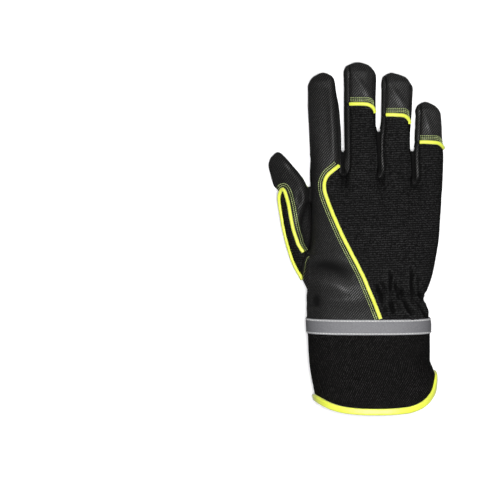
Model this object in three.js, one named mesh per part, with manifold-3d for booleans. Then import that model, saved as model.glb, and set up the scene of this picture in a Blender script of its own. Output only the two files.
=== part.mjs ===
// An insulated mechanic's glove for the right hand, lying on its palm: fingers towards +Y, thumb
// towards -X, back of the hand up. Millimetres, with z = 0 the surface that it lies on. Every panel is a
// wall of its own, cut out of one hollow hand form along the seams of the real glove.
import * as THREE from "three";
import { mergeVertices } from "three/addons/utils/BufferGeometryUtils.js";
import Module from "manifold-3d";

const wasm = await Module();
wasm.setup();

// Driving dimensions
const handWall = 2.4; // leather or stretch cloth with its insulation
const cuffWall = 3; // neoprene
const seamGap = 0.3; // between two pieces that are sewn together
const pressedFlat = 2.5; // how far the soft underside is flattened where it rests
const patchThick = 1; // a palm patch stands this far out from the palm
const pipingRadius = 1.3;
const pipingProud = 0.3; // the piping's middle lies this far outside the surface
const bandThick = 0.8; // reflective tape
const bandTop = -59;
const bandEnd = -71.5;
const wristSeam = -65.5; // the hand and the cuff meet here, under the tape
const bindingTape = 0.8; // the hem tape, folded round the edge of the cuff
const bindingWidth = 4.8;
const wristOpen = 2; // a hollow runs this far past an open end
const patchReach = 7; // a patch goes no higher up the side than this
const thumbSideAngle = 194; // where the side seam runs along the thumb
const capPoints = 8;
const hemSquare = 6; // the hem is cut square to the wall this far in and out
const hemSteepest = 2; // the tape is at most this many times as long in y as it is wide
const tallest = 80; // beyond the glove in height and in width
const widest = 80;
const roundness = 2.6; // of every section: 2 is an ellipse, more is squarer
const gussetShows = 2.9; // width of the strips between the fingers, seen from above
const gussetFoot = 4.2; // the strip's seam passes this far behind the web
const fine = { hand: 26, finger: 12, piping: 6 }; // sides of the sections
const coarse = { hand: 14, finger: 8 }; // sides of the hollow inside

const table = (columns, rows) => rows.map((r) => Object.fromEntries(columns.map((c, i) => [c, r[i]])));
const section = ["y", "left", "right", "low", "high"];
const point = ["x", "y"];

// Sections across each form, from the wrist to the fingertips.
const palm = table(section, [
  [wristSeam, -36.6, 55.2, 2.2, 46],
  [-54, -37, 53.4, 1.8, 44],
  [-44.5, -37.4, 51, 1.4, 41.2],
  [-39, -36.4, 53.4, 1.3, 41.5],
  [-30, -40.2, 56.6, 1.3, 41],
  [-18, -39.2, 59.4, 1.3, 39.8],
  [-8, -35.5, 61, 1.3, 38.4],
  [18, -34.9, 63.4, 1.3, 34.8],
  [31, -34.5, 64, 1.3, 31.6],
  [36, -34.3, 63.8, 2, 28.5],
  [41, -31, 60, 4, 22],
]);
const index = table(section, [
  [22, -33.8, -10, 3, 29],
  [38, -34.6, -8.2, 1.3, 28],
  [47, -34.8, -9.6, 1.3, 26],
  [68, -35.2, -10.2, 1.3, 24.2],
  [92, -36, -11.5, 0.9, 22.8],
  [114, -36.7, -14.8, 0, 19.5],
]);
const middle = table(section, [
  [22, -6, 17, 3, 32],
  [38, -9.2, 19, 1.3, 30.5],
  [47, -7.6, 17.6, 1.3, 27.5],
  [72, -8.6, 16.8, 1.3, 25],
  [100, -9, 15.9, 0.8, 22.5],
  [120, -8.8, 15.6, 0, 19.5],
]);
const ring = table(section, [
  [22, 20, 42, 3, 30],
  [38, 18, 43.6, 1.3, 28.5],
  [46, 19.4, 42.3, 1.3, 26.5],
  [68, 18.1, 41.7, 1.3, 24.2],
  [90, 18.5, 42.2, 0.9, 22.8],
  [113, 19.6, 43.2, 0, 19.5],
]);
const little = table(section, [
  [18, 46, 62.5, 3, 26],
  [33, 43, 64.4, 1.3, 26],
  [41.5, 44.6, 64.9, 1.3, 24.5],
  [62, 43.9, 66, 1.1, 22],
  [78, 44.3, 65.3, 0.4, 20.5],
  [93, 45.3, 64, 0, 18.5],
]);
const thumb = table(section, [
  [-44, -33, -22, 4, 16],
  [-31.5, -41.4, -22.5, 1.3, 18],
  [-14, -49.1, -30.5, 1.3, 21.3],
  [8, -55.6, -38, 1.3, 23.4],
  [19.5, -58, -37, 1.3, 23.5],
  [30, -59.8, -35.6, 1.3, 23],
  [43.5, -63.8, -40.4, 1.3, 20.5],
  [51, -65.6, -45, 1.3, 18.5],
  [57, -66, -48.8, 0.3, 17],
]);
// The low fold of the palm between the thumb and the hand.
const thumbWeb = table(section, [
  [-44, -30, -16, 4, 13],
  [-28, -37, -14, 1.3, 15.5],
  [0, -46, -16, 1.3, 15],
  [18, -48, -18, 1.3, 14.5],
  [28, -47, -26, 1.3, 13],
]);
const gauntlet = table(section, [
  [-134, -30.6, 63.4, 1.3, 47.4],
  [-91, -35.4, 54.6, 2.2, 46.6],
  [wristSeam, -36.6, 55.2, 2.2, 46],
]);

// Where each rounded end stops, how square its outline is, and which sections carry it.
const tips = {
  index: { end: 125, blunt: 2.6 },
  middle: { end: 132.5, blunt: 2.3 },
  ring: { end: 124, blunt: 2.5 },
  little: { end: 103, blunt: 2.2 },
  thumb: { end: 65.2, blunt: 2.2 },
};
const tipSteps = [0.45, 0.78, 0.95];
const tipSag = 0.4; // the tip closes at this share of its height

// Height of the seam that joins the back to the palm all round the glove.
const sideSeam = table(["y", "z"], [
  [-80, 20],
  [-60, 17],
  [-40, 10.5],
  [-20, 10],
  [40, 10],
  [70, 9.2],
  [150, 8.8],
]);

// Seams on the back, from above.
const backSeam = table(point, [
  [-12.6, 55], [-15, 52.5], [-21, 47.5], [-23.8, 42], [-23.8, 36],
  [-20, 24], [-9, -1.5], [4, -28], [11, -42], [17, -61], [20, -71],
]);
const thumbRoot = table(point, [
  [-35.4, 50], [-35.6, 28], [-35.8, 12], [-35.8, -2], [-37, -10.5],
  [-39.6, -18], [-41.2, -26], [-43, -36], [-45, -48],
]);
const insetSeam = table(point, [
  [-64, 36.6], [-58.6, 37.6], [-55.6, 35.5], [-52.4, 26], [-49.6, 14], [-47, 4], [-43.5, -4], [-36, -11],
]);
// The strip between two fingers, and where the web between them stops.
const gussets = {
  index_middle: { left: index, right: middle, web: 41.5 },
  middle_ring: { left: middle, right: ring, web: 41.5 },
  ring_little: { left: ring, right: little, web: 38.5 },
};
const gussetBeyond = [8, 25, 45]; // its seams pass through points this far beyond the web
const gussetPast = 30; // and run this far past the last sections, through the tips
// The piping at the foot of each leather fingertip cap: it drops at the little-finger side.
const capSeams = {
  middle: { form: middle, y: 100.8, drop: 4.6, from: 122, to: 34, inset: gussetShows },
  ring: { form: ring, y: 92.6, drop: 4.8, from: 122, to: 34, inset: gussetShows },
  little: { form: little, y: 71.6, drop: 4.4, from: 118, to: 2, inset: -1 },
};
const capBends = table(["across", "dropped"], [[0.5, 0], [0.7, 0.25]]); // shares of the width and the drop
const capFoot = 0.75; // share of the drop at the little-finger side
// On the palm the thumb's leather ends along this curve.
const thumbSeat = table(point, [
  [-35.5, 60], [-35.4, 36], [-31, 26], [-20, 8], [-11, -8],
  [-7.4, -24], [-11, -38], [-22, -47.4], [-36, -46], [-46, -36],
]);
// Outlines of the second layers of leather on the palm.
const heelPatch = table(point, [
  [-17.3, 12.8], [-12, 15.2], [2.3, 14], [32.3, 5.8], [52, -1], [59, -10], [57.4, -26],
  [52.5, -46], [42, -54.6], [22, -56], [6, -52], [-1.6, -46], [-4.6, -26], [-7.4, -4],
]);
const knucklePatch = table(point, [
  [-32.6, 46], [-32, 58], [-26, 67.6], [-17, 67.4], [-11.8, 58], [-14.2, 45.5], [-8, 42.8],
  [4.2, 49.6], [10.6, 42.8], [21.8, 42.8], [33.4, 43.6], [43, 30], [60.8, 23.6], [64, 21.6],
  [64, 3.4], [32.3, 12.8], [9.8, 19.5], [-15, 23.6], [-33, 29.2],
]);
const thumbPatch = table(point, [
  [-43.8, 48], [-51.6, 38], [-52, 25.7], [-47.6, 9.5], [-39.8, -4.5], [-35.8, 10], [-34.6, 26], [-39, 40],
]);
// The hem of the cuff by the angle round it: a notch at the little-finger side, 0, and a dip at the
// thumb side, 180.
const hem = table(["angle", "y"], [
  [-80, -133.4], [-66, -132.4], [-47, -122], [-36, -110], [-27, -101.5], [-14, -99.4], [0, -100],
  [6, -107], [12, -115], [22, -121.5], [40, -127], [58, -130.6], [90, -132.3], [112, -130.6],
  [130, -127.9], [147, -123.8], [163, -117.8], [180, -115], [197, -118], [213, -125.5],
  [250, -131.4], [280, -133.4],
]);
// The piping round the knit of the thumb: up the thumb's side, over the knit's far end by the angle round
// the thumb, and back along the inset's seam between the two x values.
const thumbCord = {
  outerLeg: [-30, -20, -8, 4, 16, 27],
  overTop: table(["y", "angle"], [[34, 176], [37.4, 150], [37.8, 128]]),
  innerLeg: { top: 35, left: -55.4, right: -37.6 },
};

// Geometry helpers
const mix = (a, b, t) => a + (b - a) * t;
const signedPower = (v, p) => Math.sign(v) * Math.abs(v) ** p;

function sectionAt(form, y) {
  const above = form.findIndex((s) => s.y > y);
  const k = above < 0 ? form.length - 1 : Math.max(1, above);
  const t = Math.min(1, Math.max(0, (y - form[k - 1].y) / (form[k].y - form[k - 1].y)));
  return { ...Object.fromEntries(section.map((c) => [c, mix(form[k - 1][c], form[k][c], t)])), y };
}

// The same form with its first and last sections moved outwards, so that a hollow cuts right through.
const longer = (form, first, last) => [
  { ...form[0], y: form[0].y - first },
  ...form.slice(1, -1),
  { ...form.at(-1), y: form.at(-1).y + last },
];

// A point of a section at an angle, 0 to the right and 90 on top. grow moves it outwards.
function onSection(s, degrees, grow = 0) {
  const angle = THREE.MathUtils.degToRad(degrees);
  const middleZ = (s.low + s.high) / 2;
  const across = (s.right - s.left) / 2 + grow;
  const up = s.high - middleZ + grow;
  const down = middleZ - s.low + grow + pressedFlat * (s.flat ?? 1);
  const x = (s.left + s.right) / 2 + across * signedPower(Math.cos(angle), 2 / roundness);
  const v = signedPower(Math.sin(angle), 2 / roundness);
  return new THREE.Vector3(x, s.y, Math.max(middleZ + (v > 0 ? up : down) * v, s.low - grow));
}

const anglesOf = (sides) => Array.from({ length: sides }, (_, i) => ((i + 0.5) * 360) / sides);
const ringOf = (s, sides, grow) => anglesOf(sides).map((angle) => onSection(s, angle, grow));

function solidOf(geometry) {
  geometry.deleteAttribute("normal");
  geometry.deleteAttribute("uv");
  const merged = mergeVertices(geometry, 1e-4);
  return new wasm.Manifold(
    new wasm.Mesh({
      numProp: 3,
      vertProperties: merged.attributes.position.array,
      triVerts: new Uint32Array(merged.index.array),
    }),
  );
}

function geometryOf(solid) {
  const { numProp, vertProperties, triVerts, numVert } = solid.getMesh();
  const position = new Float32Array(numVert * 3);
  for (let i = 0; i < numVert; i++) {
    position.set(vertProperties.subarray(i * numProp, i * numProp + 3), i * 3);
  }
  const geometry = new THREE.BufferGeometry();
  geometry.setAttribute("position", new THREE.BufferAttribute(position, 3));
  geometry.setIndex(new THREE.BufferAttribute(triVerts, 1));
  geometry.computeVertexNormals();
  return geometry;
}

const joined = (solids) => solids.reduce((a, b) => a.add(b));

// A closed solid through rings of points that all have the same number of sides.
function loft(rings) {
  const sides = rings[0].length;
  const points = rings.flat();
  const faces = [];
  const centres = [rings[0], rings.at(-1)].map((ends) => {
    const sum = ends.reduce((total, p) => total.add(p), new THREE.Vector3());
    return points.push(sum.divideScalar(sides)) - 1;
  });
  const last = (rings.length - 1) * sides;
  for (let i = 0; i < sides; i++) {
    const j = (i + 1) % sides;
    for (let k = 0; k < last; k += sides) {
      faces.push(k + i, k + sides + j, k + j);
      faces.push(k + i, k + sides + i, k + sides + j);
    }
    faces.push(centres[0], i, j);
    faces.push(centres[1], last + j, last + i);
  }
  const geometry = new THREE.BufferGeometry().setFromPoints(points);
  geometry.setIndex(faces);
  return solidOf(geometry);
}

// A form's sections as a solid. grow moves its skin outwards, and tip rounds off the far end.
function formSolid(form, sides, grow = 0, tip = null) {
  const rings = form.map((s) => ringOf(s, sides, grow));
  const s = form.at(-1);
  for (const along of tip ? tipSteps : []) {
    const width = (1 - along ** tip.blunt) ** (1 / tip.blunt);
    const middleX = (s.left + s.right) / 2;
    const closeAt = mix(s.low, s.high, tipSag);
    const rounded = {
      y: mix(s.y, tip.end, along) + grow * along,
      left: mix(middleX, s.left, width),
      right: mix(middleX, s.right, width),
      low: mix(closeAt, s.low, width),
      high: mix(closeAt, s.high, width),
      flat: width,
    };
    rings.push(ringOf(rounded, sides, grow * width));
  }
  return loft(rings);
}

// The hand without its cuff, its skin moved outwards by grow. A hollow one is open at the wrist.
function handForm(grow, sides) {
  const digits = { index, middle, ring, little, thumb };
  const trunk = grow < 0 ? longer(palm.slice(0, -1), wristOpen, 0) : palm;
  return joined([
    formSolid(trunk, sides.hand, grow),
    formSolid(thumbWeb, sides.finger, grow),
    ...Object.entries(digits).map(([name, form]) => formSolid(form, sides.finger, grow, tips[name])),
  ]);
}

// Everything inside an outline in x and y, from low to high.
function prism(outline, low, high) {
  const shape = new THREE.Shape(outline.map((p) => new THREE.Vector2(p.x, p.y)));
  const geometry = new THREE.ExtrudeGeometry(shape, { depth: high - low, bevelEnabled: false });
  return solidOf(geometry.translate(0, 0, low));
}

function smooth(points, steps, closed = false) {
  const places = points.map((p) => new THREE.Vector3(p.x, p.y, 0));
  const curve = new THREE.CatmullRomCurve3(places, closed, "centripetal");
  return curve.getPoints(steps).slice(0, closed ? -1 : undefined);
}

// A line moved sideways, to its left for a positive distance.
const sideways = (line, distance) =>
  line.map((p, i) => {
    const before = line[Math.max(0, i - 1)];
    const after = line[Math.min(line.length - 1, i + 1)];
    const along = new THREE.Vector2(after.x - before.x, after.y - before.y).normalize();
    return { x: p.x - along.y * distance, y: p.y + along.x * distance };
  });

// A thin upright wall along a seam, which parts two panels.
function seamCut(points, steps, low = 0) {
  const line = smooth(points, steps);
  return prism([...sideways(line, -seamGap / 2), ...sideways(line, seamGap / 2).reverse()], low, tallest);
}

// Everything over or under the side seam that runs round the glove.
function sideOf(over) {
  const far = over ? tallest : -tallest;
  const clear = (over ? seamGap : -seamGap) / 2;
  const line = sideSeam.map((p) => new THREE.Vector2(p.y, p.z + clear));
  const corners = [new THREE.Vector2(line.at(-1).x, far), new THREE.Vector2(line[0].x, far)];
  const shape = new THREE.Shape([...line, ...corners]);
  const geometry = new THREE.ExtrudeGeometry(shape, { depth: 2 * widest, bevelEnabled: false });
  const turned = new THREE.Matrix4().makeBasis(
    new THREE.Vector3(0, 1, 0),
    new THREE.Vector3(0, 0, 1),
    new THREE.Vector3(1, 0, 0),
  );
  return solidOf(geometry.applyMatrix4(turned).translate(-widest, 0, 0));
}

// The body of a cut solid that an upright column at x, y runs through.
function pieceAt(solid, x, y) {
  const column = solidOf(new THREE.BoxGeometry(1, 1, 2 * tallest).translate(x, y, 0));
  const bodies = solid.decompose().map((body) => ({ body, held: body.intersect(column).volume() }));
  return bodies.sort((a, b) => b.held - a.held)[0].body;
}

// Hand shell
const outer = handForm(0, fine);
const shell = outer.subtract(handForm(-handWall, coarse));
const skin = new THREE.Mesh(geometryOf(outer), new THREE.MeshBasicMaterial({ side: THREE.DoubleSide }));
const ray = new THREE.Raycaster();

// The points of a line, put on the skin from above.
const onBack = (line) =>
  line.map((p) => {
    ray.set(new THREE.Vector3(p.x, p.y, tallest), new THREE.Vector3(0, 0, -1));
    return new THREE.Vector3(p.x, p.y, ray.intersectObject(skin)[0].point.z + pipingProud);
  });

// Pipings: the points that each cord follows
const clearOfBand = (p) => p.y > bandTop + pipingRadius;
const pipings = {
  back_piping: { steps: 17, points: onBack(smooth(backSeam, 22).filter(clearOfBand).slice(1)) },
};
for (const [name, { form, y, drop, from, to }] of Object.entries(capSeams)) {
  const points = [];
  for (let i = 0; i <= capPoints; i++) {
    const angle = mix(from, to, i / capPoints);
    const lowered = drop * Math.max(0, Math.cos(THREE.MathUtils.degToRad(angle))) ** 2;
    points.push(onSection(sectionAt(form, y - lowered), angle, pipingProud));
  }
  pipings[`${name}_cap_piping`] = { steps: capPoints, points };
}
const onThumb = (y, angle) => onSection(sectionAt(thumb, y), angle, pipingProud);
const { top, left: outermost, right: innermost } = thumbCord.innerLeg;
const onInnerLeg = (p) => p.y < top && p.x > outermost && p.x < innermost;
pipings.thumb_piping = {
  steps: 24,
  points: [
    ...thumbCord.outerLeg.map((y) => onThumb(y, thumbSideAngle)),
    ...thumbCord.overTop.map(({ y, angle }) => onThumb(y, angle)),
    ...onBack(smooth(insetSeam, 24).filter(onInnerLeg)),
  ],
};

function cord({ points, steps }, radius) {
  const round = new THREE.Shape();
  for (let i = 0; i < fine.piping; i++) {
    const angle = ((i + 0.5) * 2 * Math.PI) / fine.piping;
    round[i ? "lineTo" : "moveTo"](radius * Math.cos(angle), radius * Math.sin(angle));
  }
  round.closePath();
  const path = new THREE.CatmullRomCurve3(points, false, "centripetal");
  return solidOf(new THREE.ExtrudeGeometry(round, { steps, extrudePath: path, bevelEnabled: false }));
}
const grooves = joined(Object.values(pipings).map((piping) => cord(piping, pipingRadius + seamGap / 2)));

// The seam round a gusset: down one finger, behind the web and up the next finger.
function gussetSeam({ left, right, web }) {
  const leftEdge = (y) => ({ x: sectionAt(left, y).right - gussetShows, y });
  const rightEdge = (y) => ({ x: sectionAt(right, y).left + gussetShows, y });
  const foot = { x: mix(sectionAt(left, web).right, sectionAt(right, web).left, 0.5), y: web - gussetFoot };
  const heights = gussetBeyond.map((beyond) => web + beyond);
  const ends = [left, right].map((form) => ({ y: form.at(-1).y + gussetPast }));
  return [
    { ...leftEdge(left.at(-1).y), ...ends[0] },
    ...heights.toReversed().map(leftEdge),
    foot,
    ...heights.map(rightEdge),
    { ...rightEdge(right.at(-1).y), ...ends[1] },
  ];
}
const capSeam = ({ form, y, drop, inset }) => {
  const { left, right } = sectionAt(form, y);
  return [
    { x: left + gussetShows - seamGap, y },
    ...capBends.map(({ across, dropped }) => ({ x: mix(left, right, across), y: y - drop * dropped })),
    { x: right - inset + seamGap, y: y - drop * capFoot },
  ];
};

// The back and the palm, each cut along its seams
const backCuts = joined([
  seamCut(backSeam, 18),
  seamCut(thumbRoot, 10),
  seamCut(insetSeam, 12),
  ...Object.values(gussets).map((gusset) => seamCut(gussetSeam(gusset), 20)),
  ...Object.values(capSeams).map((cap) => seamCut(capSeam(cap), 5)),
]);
const upper = shell.intersect(sideOf(true)).subtract(backCuts).subtract(grooves);
const lower = shell.intersect(sideOf(false)).subtract(seamCut(thumbSeat, 18, -tallest)).subtract(grooves);

// Patches on the palm: a second layer of leather under the first
const patchLayer = handForm(seamGap + patchThick, fine).subtract(handForm(seamGap, fine));
const patchOf = (outline, steps) =>
  patchLayer.intersect(prism(smooth(outline, steps, true), -patchReach, patchReach));

// Cuff, its hem binding and the reflective tape
function hemAt(degrees) {
  const angle = degrees > hem.at(-1).angle ? degrees - 360 : degrees;
  const k = hem.findIndex((p) => p.angle >= angle);
  const [a, b] = [hem[k - 1], hem[k]];
  return mix(a.y, b.y, (angle - a.angle) / (b.angle - a.angle));
}

// The gauntlet from the wrist to its hem, moved outwards by grow and cut short of the hem by inset.
function gauntletForm(grow, inset, start = wristSeam) {
  const angles = anglesOf(fine.hand);
  const edge = angles.map((angle) => onSection(sectionAt(gauntlet, hemAt(angle)), angle));
  const ends = edge.map((p, i) => {
    const before = edge.at(i - 1);
    const after = edge[(i + 1) % edge.length];
    const slope = (after.y - before.y) / Math.hypot(after.x - before.x, after.z - before.z);
    return p.y + inset * Math.min(hemSteepest, Math.hypot(1, slope));
  });
  const hemRing = (out) => angles.map((angle, i) => onSection(sectionAt(gauntlet, ends[i]), angle, out));
  const tube = [gauntlet[1], { ...gauntlet[2], y: start }].map((s) => ringOf(s, fine.hand, grow));
  return loft([hemRing(-hemSquare), hemRing(grow), ...tube]);
}
const tapeOut = bindingTape + seamGap;
const inside = (wall) => gauntletForm(-wall, -bindingWidth, wristSeam + wristOpen);
const cuff = gauntletForm(0, tapeOut + seamGap, wristSeam - seamGap).subtract(inside(cuffWall));
const cuffRoom = gauntletForm(seamGap, tapeOut).subtract(gauntletForm(-cuffWall - seamGap, -1));
const binding = gauntletForm(tapeOut, 0)
  .subtract(gauntletForm(hemSquare, bindingWidth))
  .subtract(inside(cuffWall + tapeOut))
  .subtract(cuffRoom);
const bandForm = [sectionAt(gauntlet, bandEnd), palm[0], sectionAt(palm, bandTop)];
const band = formSolid(bandForm, fine.hand, seamGap + bandThick).subtract(
  formSolid(longer(bandForm, wristOpen, wristOpen), fine.hand, seamGap),
);

// Materials
const material = (color, roughness) => new THREE.MeshStandardMaterial({ color, roughness, metalness: 0 });
const leather = material(0x1b1b1c, 0.5);
const stretch = material(0x131314, 0.95);
const neoprene = material(0x141314, 0.9);
const yellow = material(0xd6f23a, 0.6);
const tape = material(0x8f9096, 0.45);

// The glove: each piece with its material. A cut panel is found by a place that it covers.
const pieces = [
  ["palm_panel", pieceAt(lower, 20, -20), leather],
  ["thumb_palm_panel", pieceAt(lower, -54, 40), leather],
  ["index_back_panel", pieceAt(upper, -24, 90), leather],
  ["back_panel", pieceAt(upper, 20, 0), stretch],
  ["middle_cap", pieceAt(upper, 4, 116), leather],
  ["ring_cap", pieceAt(upper, 31, 108), leather],
  ["little_cap", pieceAt(upper, 55, 88), leather],
  ["index_middle_gusset", pieceAt(upper, -6.8, 90), leather],
  ["middle_ring_gusset", pieceAt(upper, 19.8, 80), leather],
  ["ring_little_gusset", pieceAt(upper, 45.4, 70), leather],
  ["thumb_back_panel", pieceAt(upper, -52, 45), leather],
  ["thumb_inset", pieceAt(upper, -53, 8), stretch],
  ["heel_patch", patchOf(heelPatch, 20), leather],
  ["knuckle_patch", patchOf(knucklePatch, 30), leather],
  ["thumb_patch", patchOf(thumbPatch, 16), leather],
  ["reflective_band", band, tape],
  ["cuff", cuff, neoprene],
  ["hem_binding", binding, yellow],
  ...Object.entries(pipings).map(([name, piping]) => [name, cord(piping, pipingRadius), yellow]),
];

const glove = new THREE.Group();
for (const [name, solid, finish] of pieces) {
  const mesh = new THREE.Mesh(geometryOf(solid), finish);
  mesh.name = name;
  glove.add(mesh);
}
export default glove;
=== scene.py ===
import math

import bpy
import numpy as np
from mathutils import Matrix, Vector
from mathutils.bvhtree import BVHTree


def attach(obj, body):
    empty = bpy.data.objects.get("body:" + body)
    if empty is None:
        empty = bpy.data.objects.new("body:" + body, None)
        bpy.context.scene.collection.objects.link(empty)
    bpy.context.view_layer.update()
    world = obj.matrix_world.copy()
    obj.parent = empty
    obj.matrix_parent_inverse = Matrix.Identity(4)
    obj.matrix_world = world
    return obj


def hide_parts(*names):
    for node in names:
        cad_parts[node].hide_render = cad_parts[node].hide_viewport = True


# An insulated mechanic's glove for the right hand, lying on its palm. Shapes are worked out in
# millimetres, x towards the little finger and y towards the fingertips, and become metres in addPiece.
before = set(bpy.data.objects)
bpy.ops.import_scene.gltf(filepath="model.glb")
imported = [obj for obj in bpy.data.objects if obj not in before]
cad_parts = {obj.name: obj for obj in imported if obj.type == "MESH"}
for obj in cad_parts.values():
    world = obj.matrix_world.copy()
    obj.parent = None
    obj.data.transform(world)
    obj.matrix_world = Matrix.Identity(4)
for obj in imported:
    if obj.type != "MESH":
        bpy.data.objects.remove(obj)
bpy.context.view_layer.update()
scene = bpy.context.scene
print("frame loaded")


def addObject(name, data):
    made = bpy.data.objects.new(name, data)
    scene.collection.objects.link(made)
    return made


photoView = {"place": (-0.0795, -0.009, 3.02), "lens": 288, "sensor": 36}
camera = addObject("camera", bpy.data.cameras.new("camera"))
camera.location = photoView["place"]
camera.data.lens = photoView["lens"]
camera.data.sensor_width = photoView["sensor"]
scene.camera = camera


# Node helpers for shader and geometry trees, so that each finish reads as a list of steps.
def feed(socket, source):
    if isinstance(source, bpy.types.NodeSocket):
        socket.id_data.links.new(source, socket)
    else:
        socket.default_value = (*source, 1) if socket.type == "RGBA" else source


def feedAll(sockets, sources):
    for label, source in sources.items():
        feed(sockets[label], source)


def addNode(tree, kind, inputs=None, **settings):
    node = tree.nodes.new(kind)
    for setting, value in settings.items():
        setattr(node, setting, value)
    feedAll(node.inputs, inputs or {})
    return node.outputs


def calculate(operation, *values):
    tree = next(value.id_data for value in values if isinstance(value, bpy.types.NodeSocket))
    return addNode(tree, "ShaderNodeMath", dict(enumerate(values)), operation=operation)[0]


def times(a, b):
    return calculate("MULTIPLY", a, b)


def minus(a, b):
    return calculate("SUBTRACT", a, b)


def rangeOf(value, fromLow, fromHigh, toLow=0.0, toHigh=1.0):
    inputs = dict(enumerate((value, fromLow, fromHigh, toLow, toHigh)))
    return addNode(value.id_data, "ShaderNodeMapRange", inputs)[0]


def mixColour(factor, a, b):
    return addNode(factor.id_data, "ShaderNodeMix", {0: factor, 6: a, 7: b}, data_type="RGBA")[2]


# Each input is given as its default number, or as the kind of socket where it has none.
def nodeGroup(treeKind, name, inputs, outputs):
    tree = bpy.data.node_groups.new(name, treeKind)
    for label, value in inputs.items():
        kind = {float: "Float", int: "Int"}.get(type(value), value)
        socket = tree.interface.new_socket(label, in_out="INPUT", socket_type=f"NodeSocket{kind}")
        if kind != value:
            socket.default_value = value
    for label, kind in outputs.items():
        tree.interface.new_socket(label, in_out="OUTPUT", socket_type=f"NodeSocket{kind}")
    return tree, tree.nodes.new("NodeGroupInput").outputs, tree.nodes.new("NodeGroupOutput").inputs


# Two sets of slanted ribs that cross: pitches in millimetres, slants in degrees.
crossTree, given, result = nodeGroup("ShaderNodeTree", "crossedRibs", {
    "Vector": "Vector", "Pitch": 2.0, "Slant": 45.0, "Second pitch": 2.0, "Second slant": -45.0,
    "Second share": 0.5, "Waver": 0.0, "Waver size": 3.0}, {"Height": "Float"})
noise = addNode(crossTree, "ShaderNodeTexNoise", {
    "Vector": given["Vector"], "Scale": calculate("DIVIDE", 1.0, given["Waver size"]), "Detail": 1.0})
scaling = {0: noise["Color"], "Scale": given["Waver"]}
shift = addNode(crossTree, "ShaderNodeVectorMath", scaling, operation="SCALE")[0]
moved = addNode(crossTree, "ShaderNodeVectorMath", {0: given["Vector"], 1: shift})[0]
place = addNode(crossTree, "ShaderNodeSeparateXYZ", {0: moved})
waves = []
for pitch, slant in (("Pitch", "Slant"), ("Second pitch", "Second slant")):
    angle = calculate("RADIANS", given[slant])
    across = times(place[0], calculate("SINE", angle))
    along = times(place[1], calculate("COSINE", angle))
    turns = calculate("DIVIDE", minus(along, across), given[pitch])
    waves.append(rangeOf(calculate("SINE", times(turns, 2 * math.pi)), -1.0, 1.0))
firstWave = times(waves[0], minus(1.0, given["Second share"]))
feed(result["Height"], calculate("MULTIPLY_ADD", waves[1], given["Second share"], firstWave))

# Handling wear: broad uneven tone, and a fine fleck, from Object coordinates.
wearTree, given, result = nodeGroup("ShaderNodeTree", "handlingWear", {
    "Vector": "Vector", "Patch size": 0.03, "Fleck size": 0.0012}, {"Tone": "Float", "Fleck": "Float"})
for label, size, detail in (("Tone", "Patch size", 3.0), ("Fleck", "Fleck size", 1.0)):
    noise = addNode(wearTree, "ShaderNodeTexNoise", {
        "Vector": given["Vector"], "Scale": calculate("DIVIDE", 1.0, given[size]), "Detail": detail})
    feed(result[label], rangeOf(noise["Fac"], 0.3, 0.7))
finishes = {}


def startFinish(name):
    finishes[name] = bpy.data.materials.new(name)
    finishes[name].use_nodes = True
    tree = finishes[name].node_tree
    return tree, tree.nodes["Principled BSDF"].inputs, addNode(tree, "ShaderNodeTexCoord")


def useGroup(group, vector, values=None):
    inputs = {"Vector": vector, **(values or {})}
    return addNode(vector.id_data, "ShaderNodeGroup", inputs, node_tree=group)


def addBump(shader, height, distance):
    inputs = {"Height": height, "Strength": 1.0, "Distance": distance}
    feed(shader["Normal"], addNode(height.id_data, "ShaderNodeBump", inputs)[0])


clothFinishes = {
    "leather": {
        "dark": (0.0005, 0.0005, 0.0005), "light": (0.048, 0.0473, 0.0466), "power": 3.0,
        "fleck": (0.8, 1.1), "rough": (0.33, 0.42), "groove": 0.5, "bump": 0.00007, "specular": 0.2,
        "ribs": {"Pitch": 1.5, "Slant": 47.0, "Second pitch": 1.45, "Second slant": -70.0,
                 "Second share": 0.34, "Waver": 0.35, "Waver size": 4.0}},
    "knit": {
        "dark": (0.0025, 0.0025, 0.0025), "light": (0.0215, 0.0215, 0.0215), "power": 1.6,
        "fleck": (0.2, 1.55), "rough": (0.8, 0.9), "groove": 0.1, "bump": 0.0002, "specular": 0.04,
        "ribs": {"Pitch": 1.7, "Slant": 2.0, "Second pitch": 1.66, "Second slant": 84.0,
                 "Second share": 0.2, "Waver": 1.3, "Waver size": 1.4}},
    "neoprene": {
        "dark": (0.0004, 0.0004, 0.0004), "light": (0.029, 0.0275, 0.027), "power": 3.2,
        "fleck": (0.6, 1.2), "rough": (0.7, 0.88), "groove": 0.1, "bump": 0.0002, "specular": 0.05,
        "ribs": {"Pitch": 1.4, "Slant": -58.0, "Second pitch": 1.5, "Second slant": 54.0,
                 "Second share": 0.28, "Waver": 0.7, "Waver size": 3.0}},
}
wornTone = (0.75, 1.1)
grooveEdge = (0.3, 0.7)
# Painted shade: tone left where the cloth is closed in; painted highlight: how much lighter the banks of the
# folds are.
paintedShadeTone = {"open": 0.07, "closed": 0.52, "least": 0.07, "bank": 0.3, "lighter": 1.6, "polish": 0.07}
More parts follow.
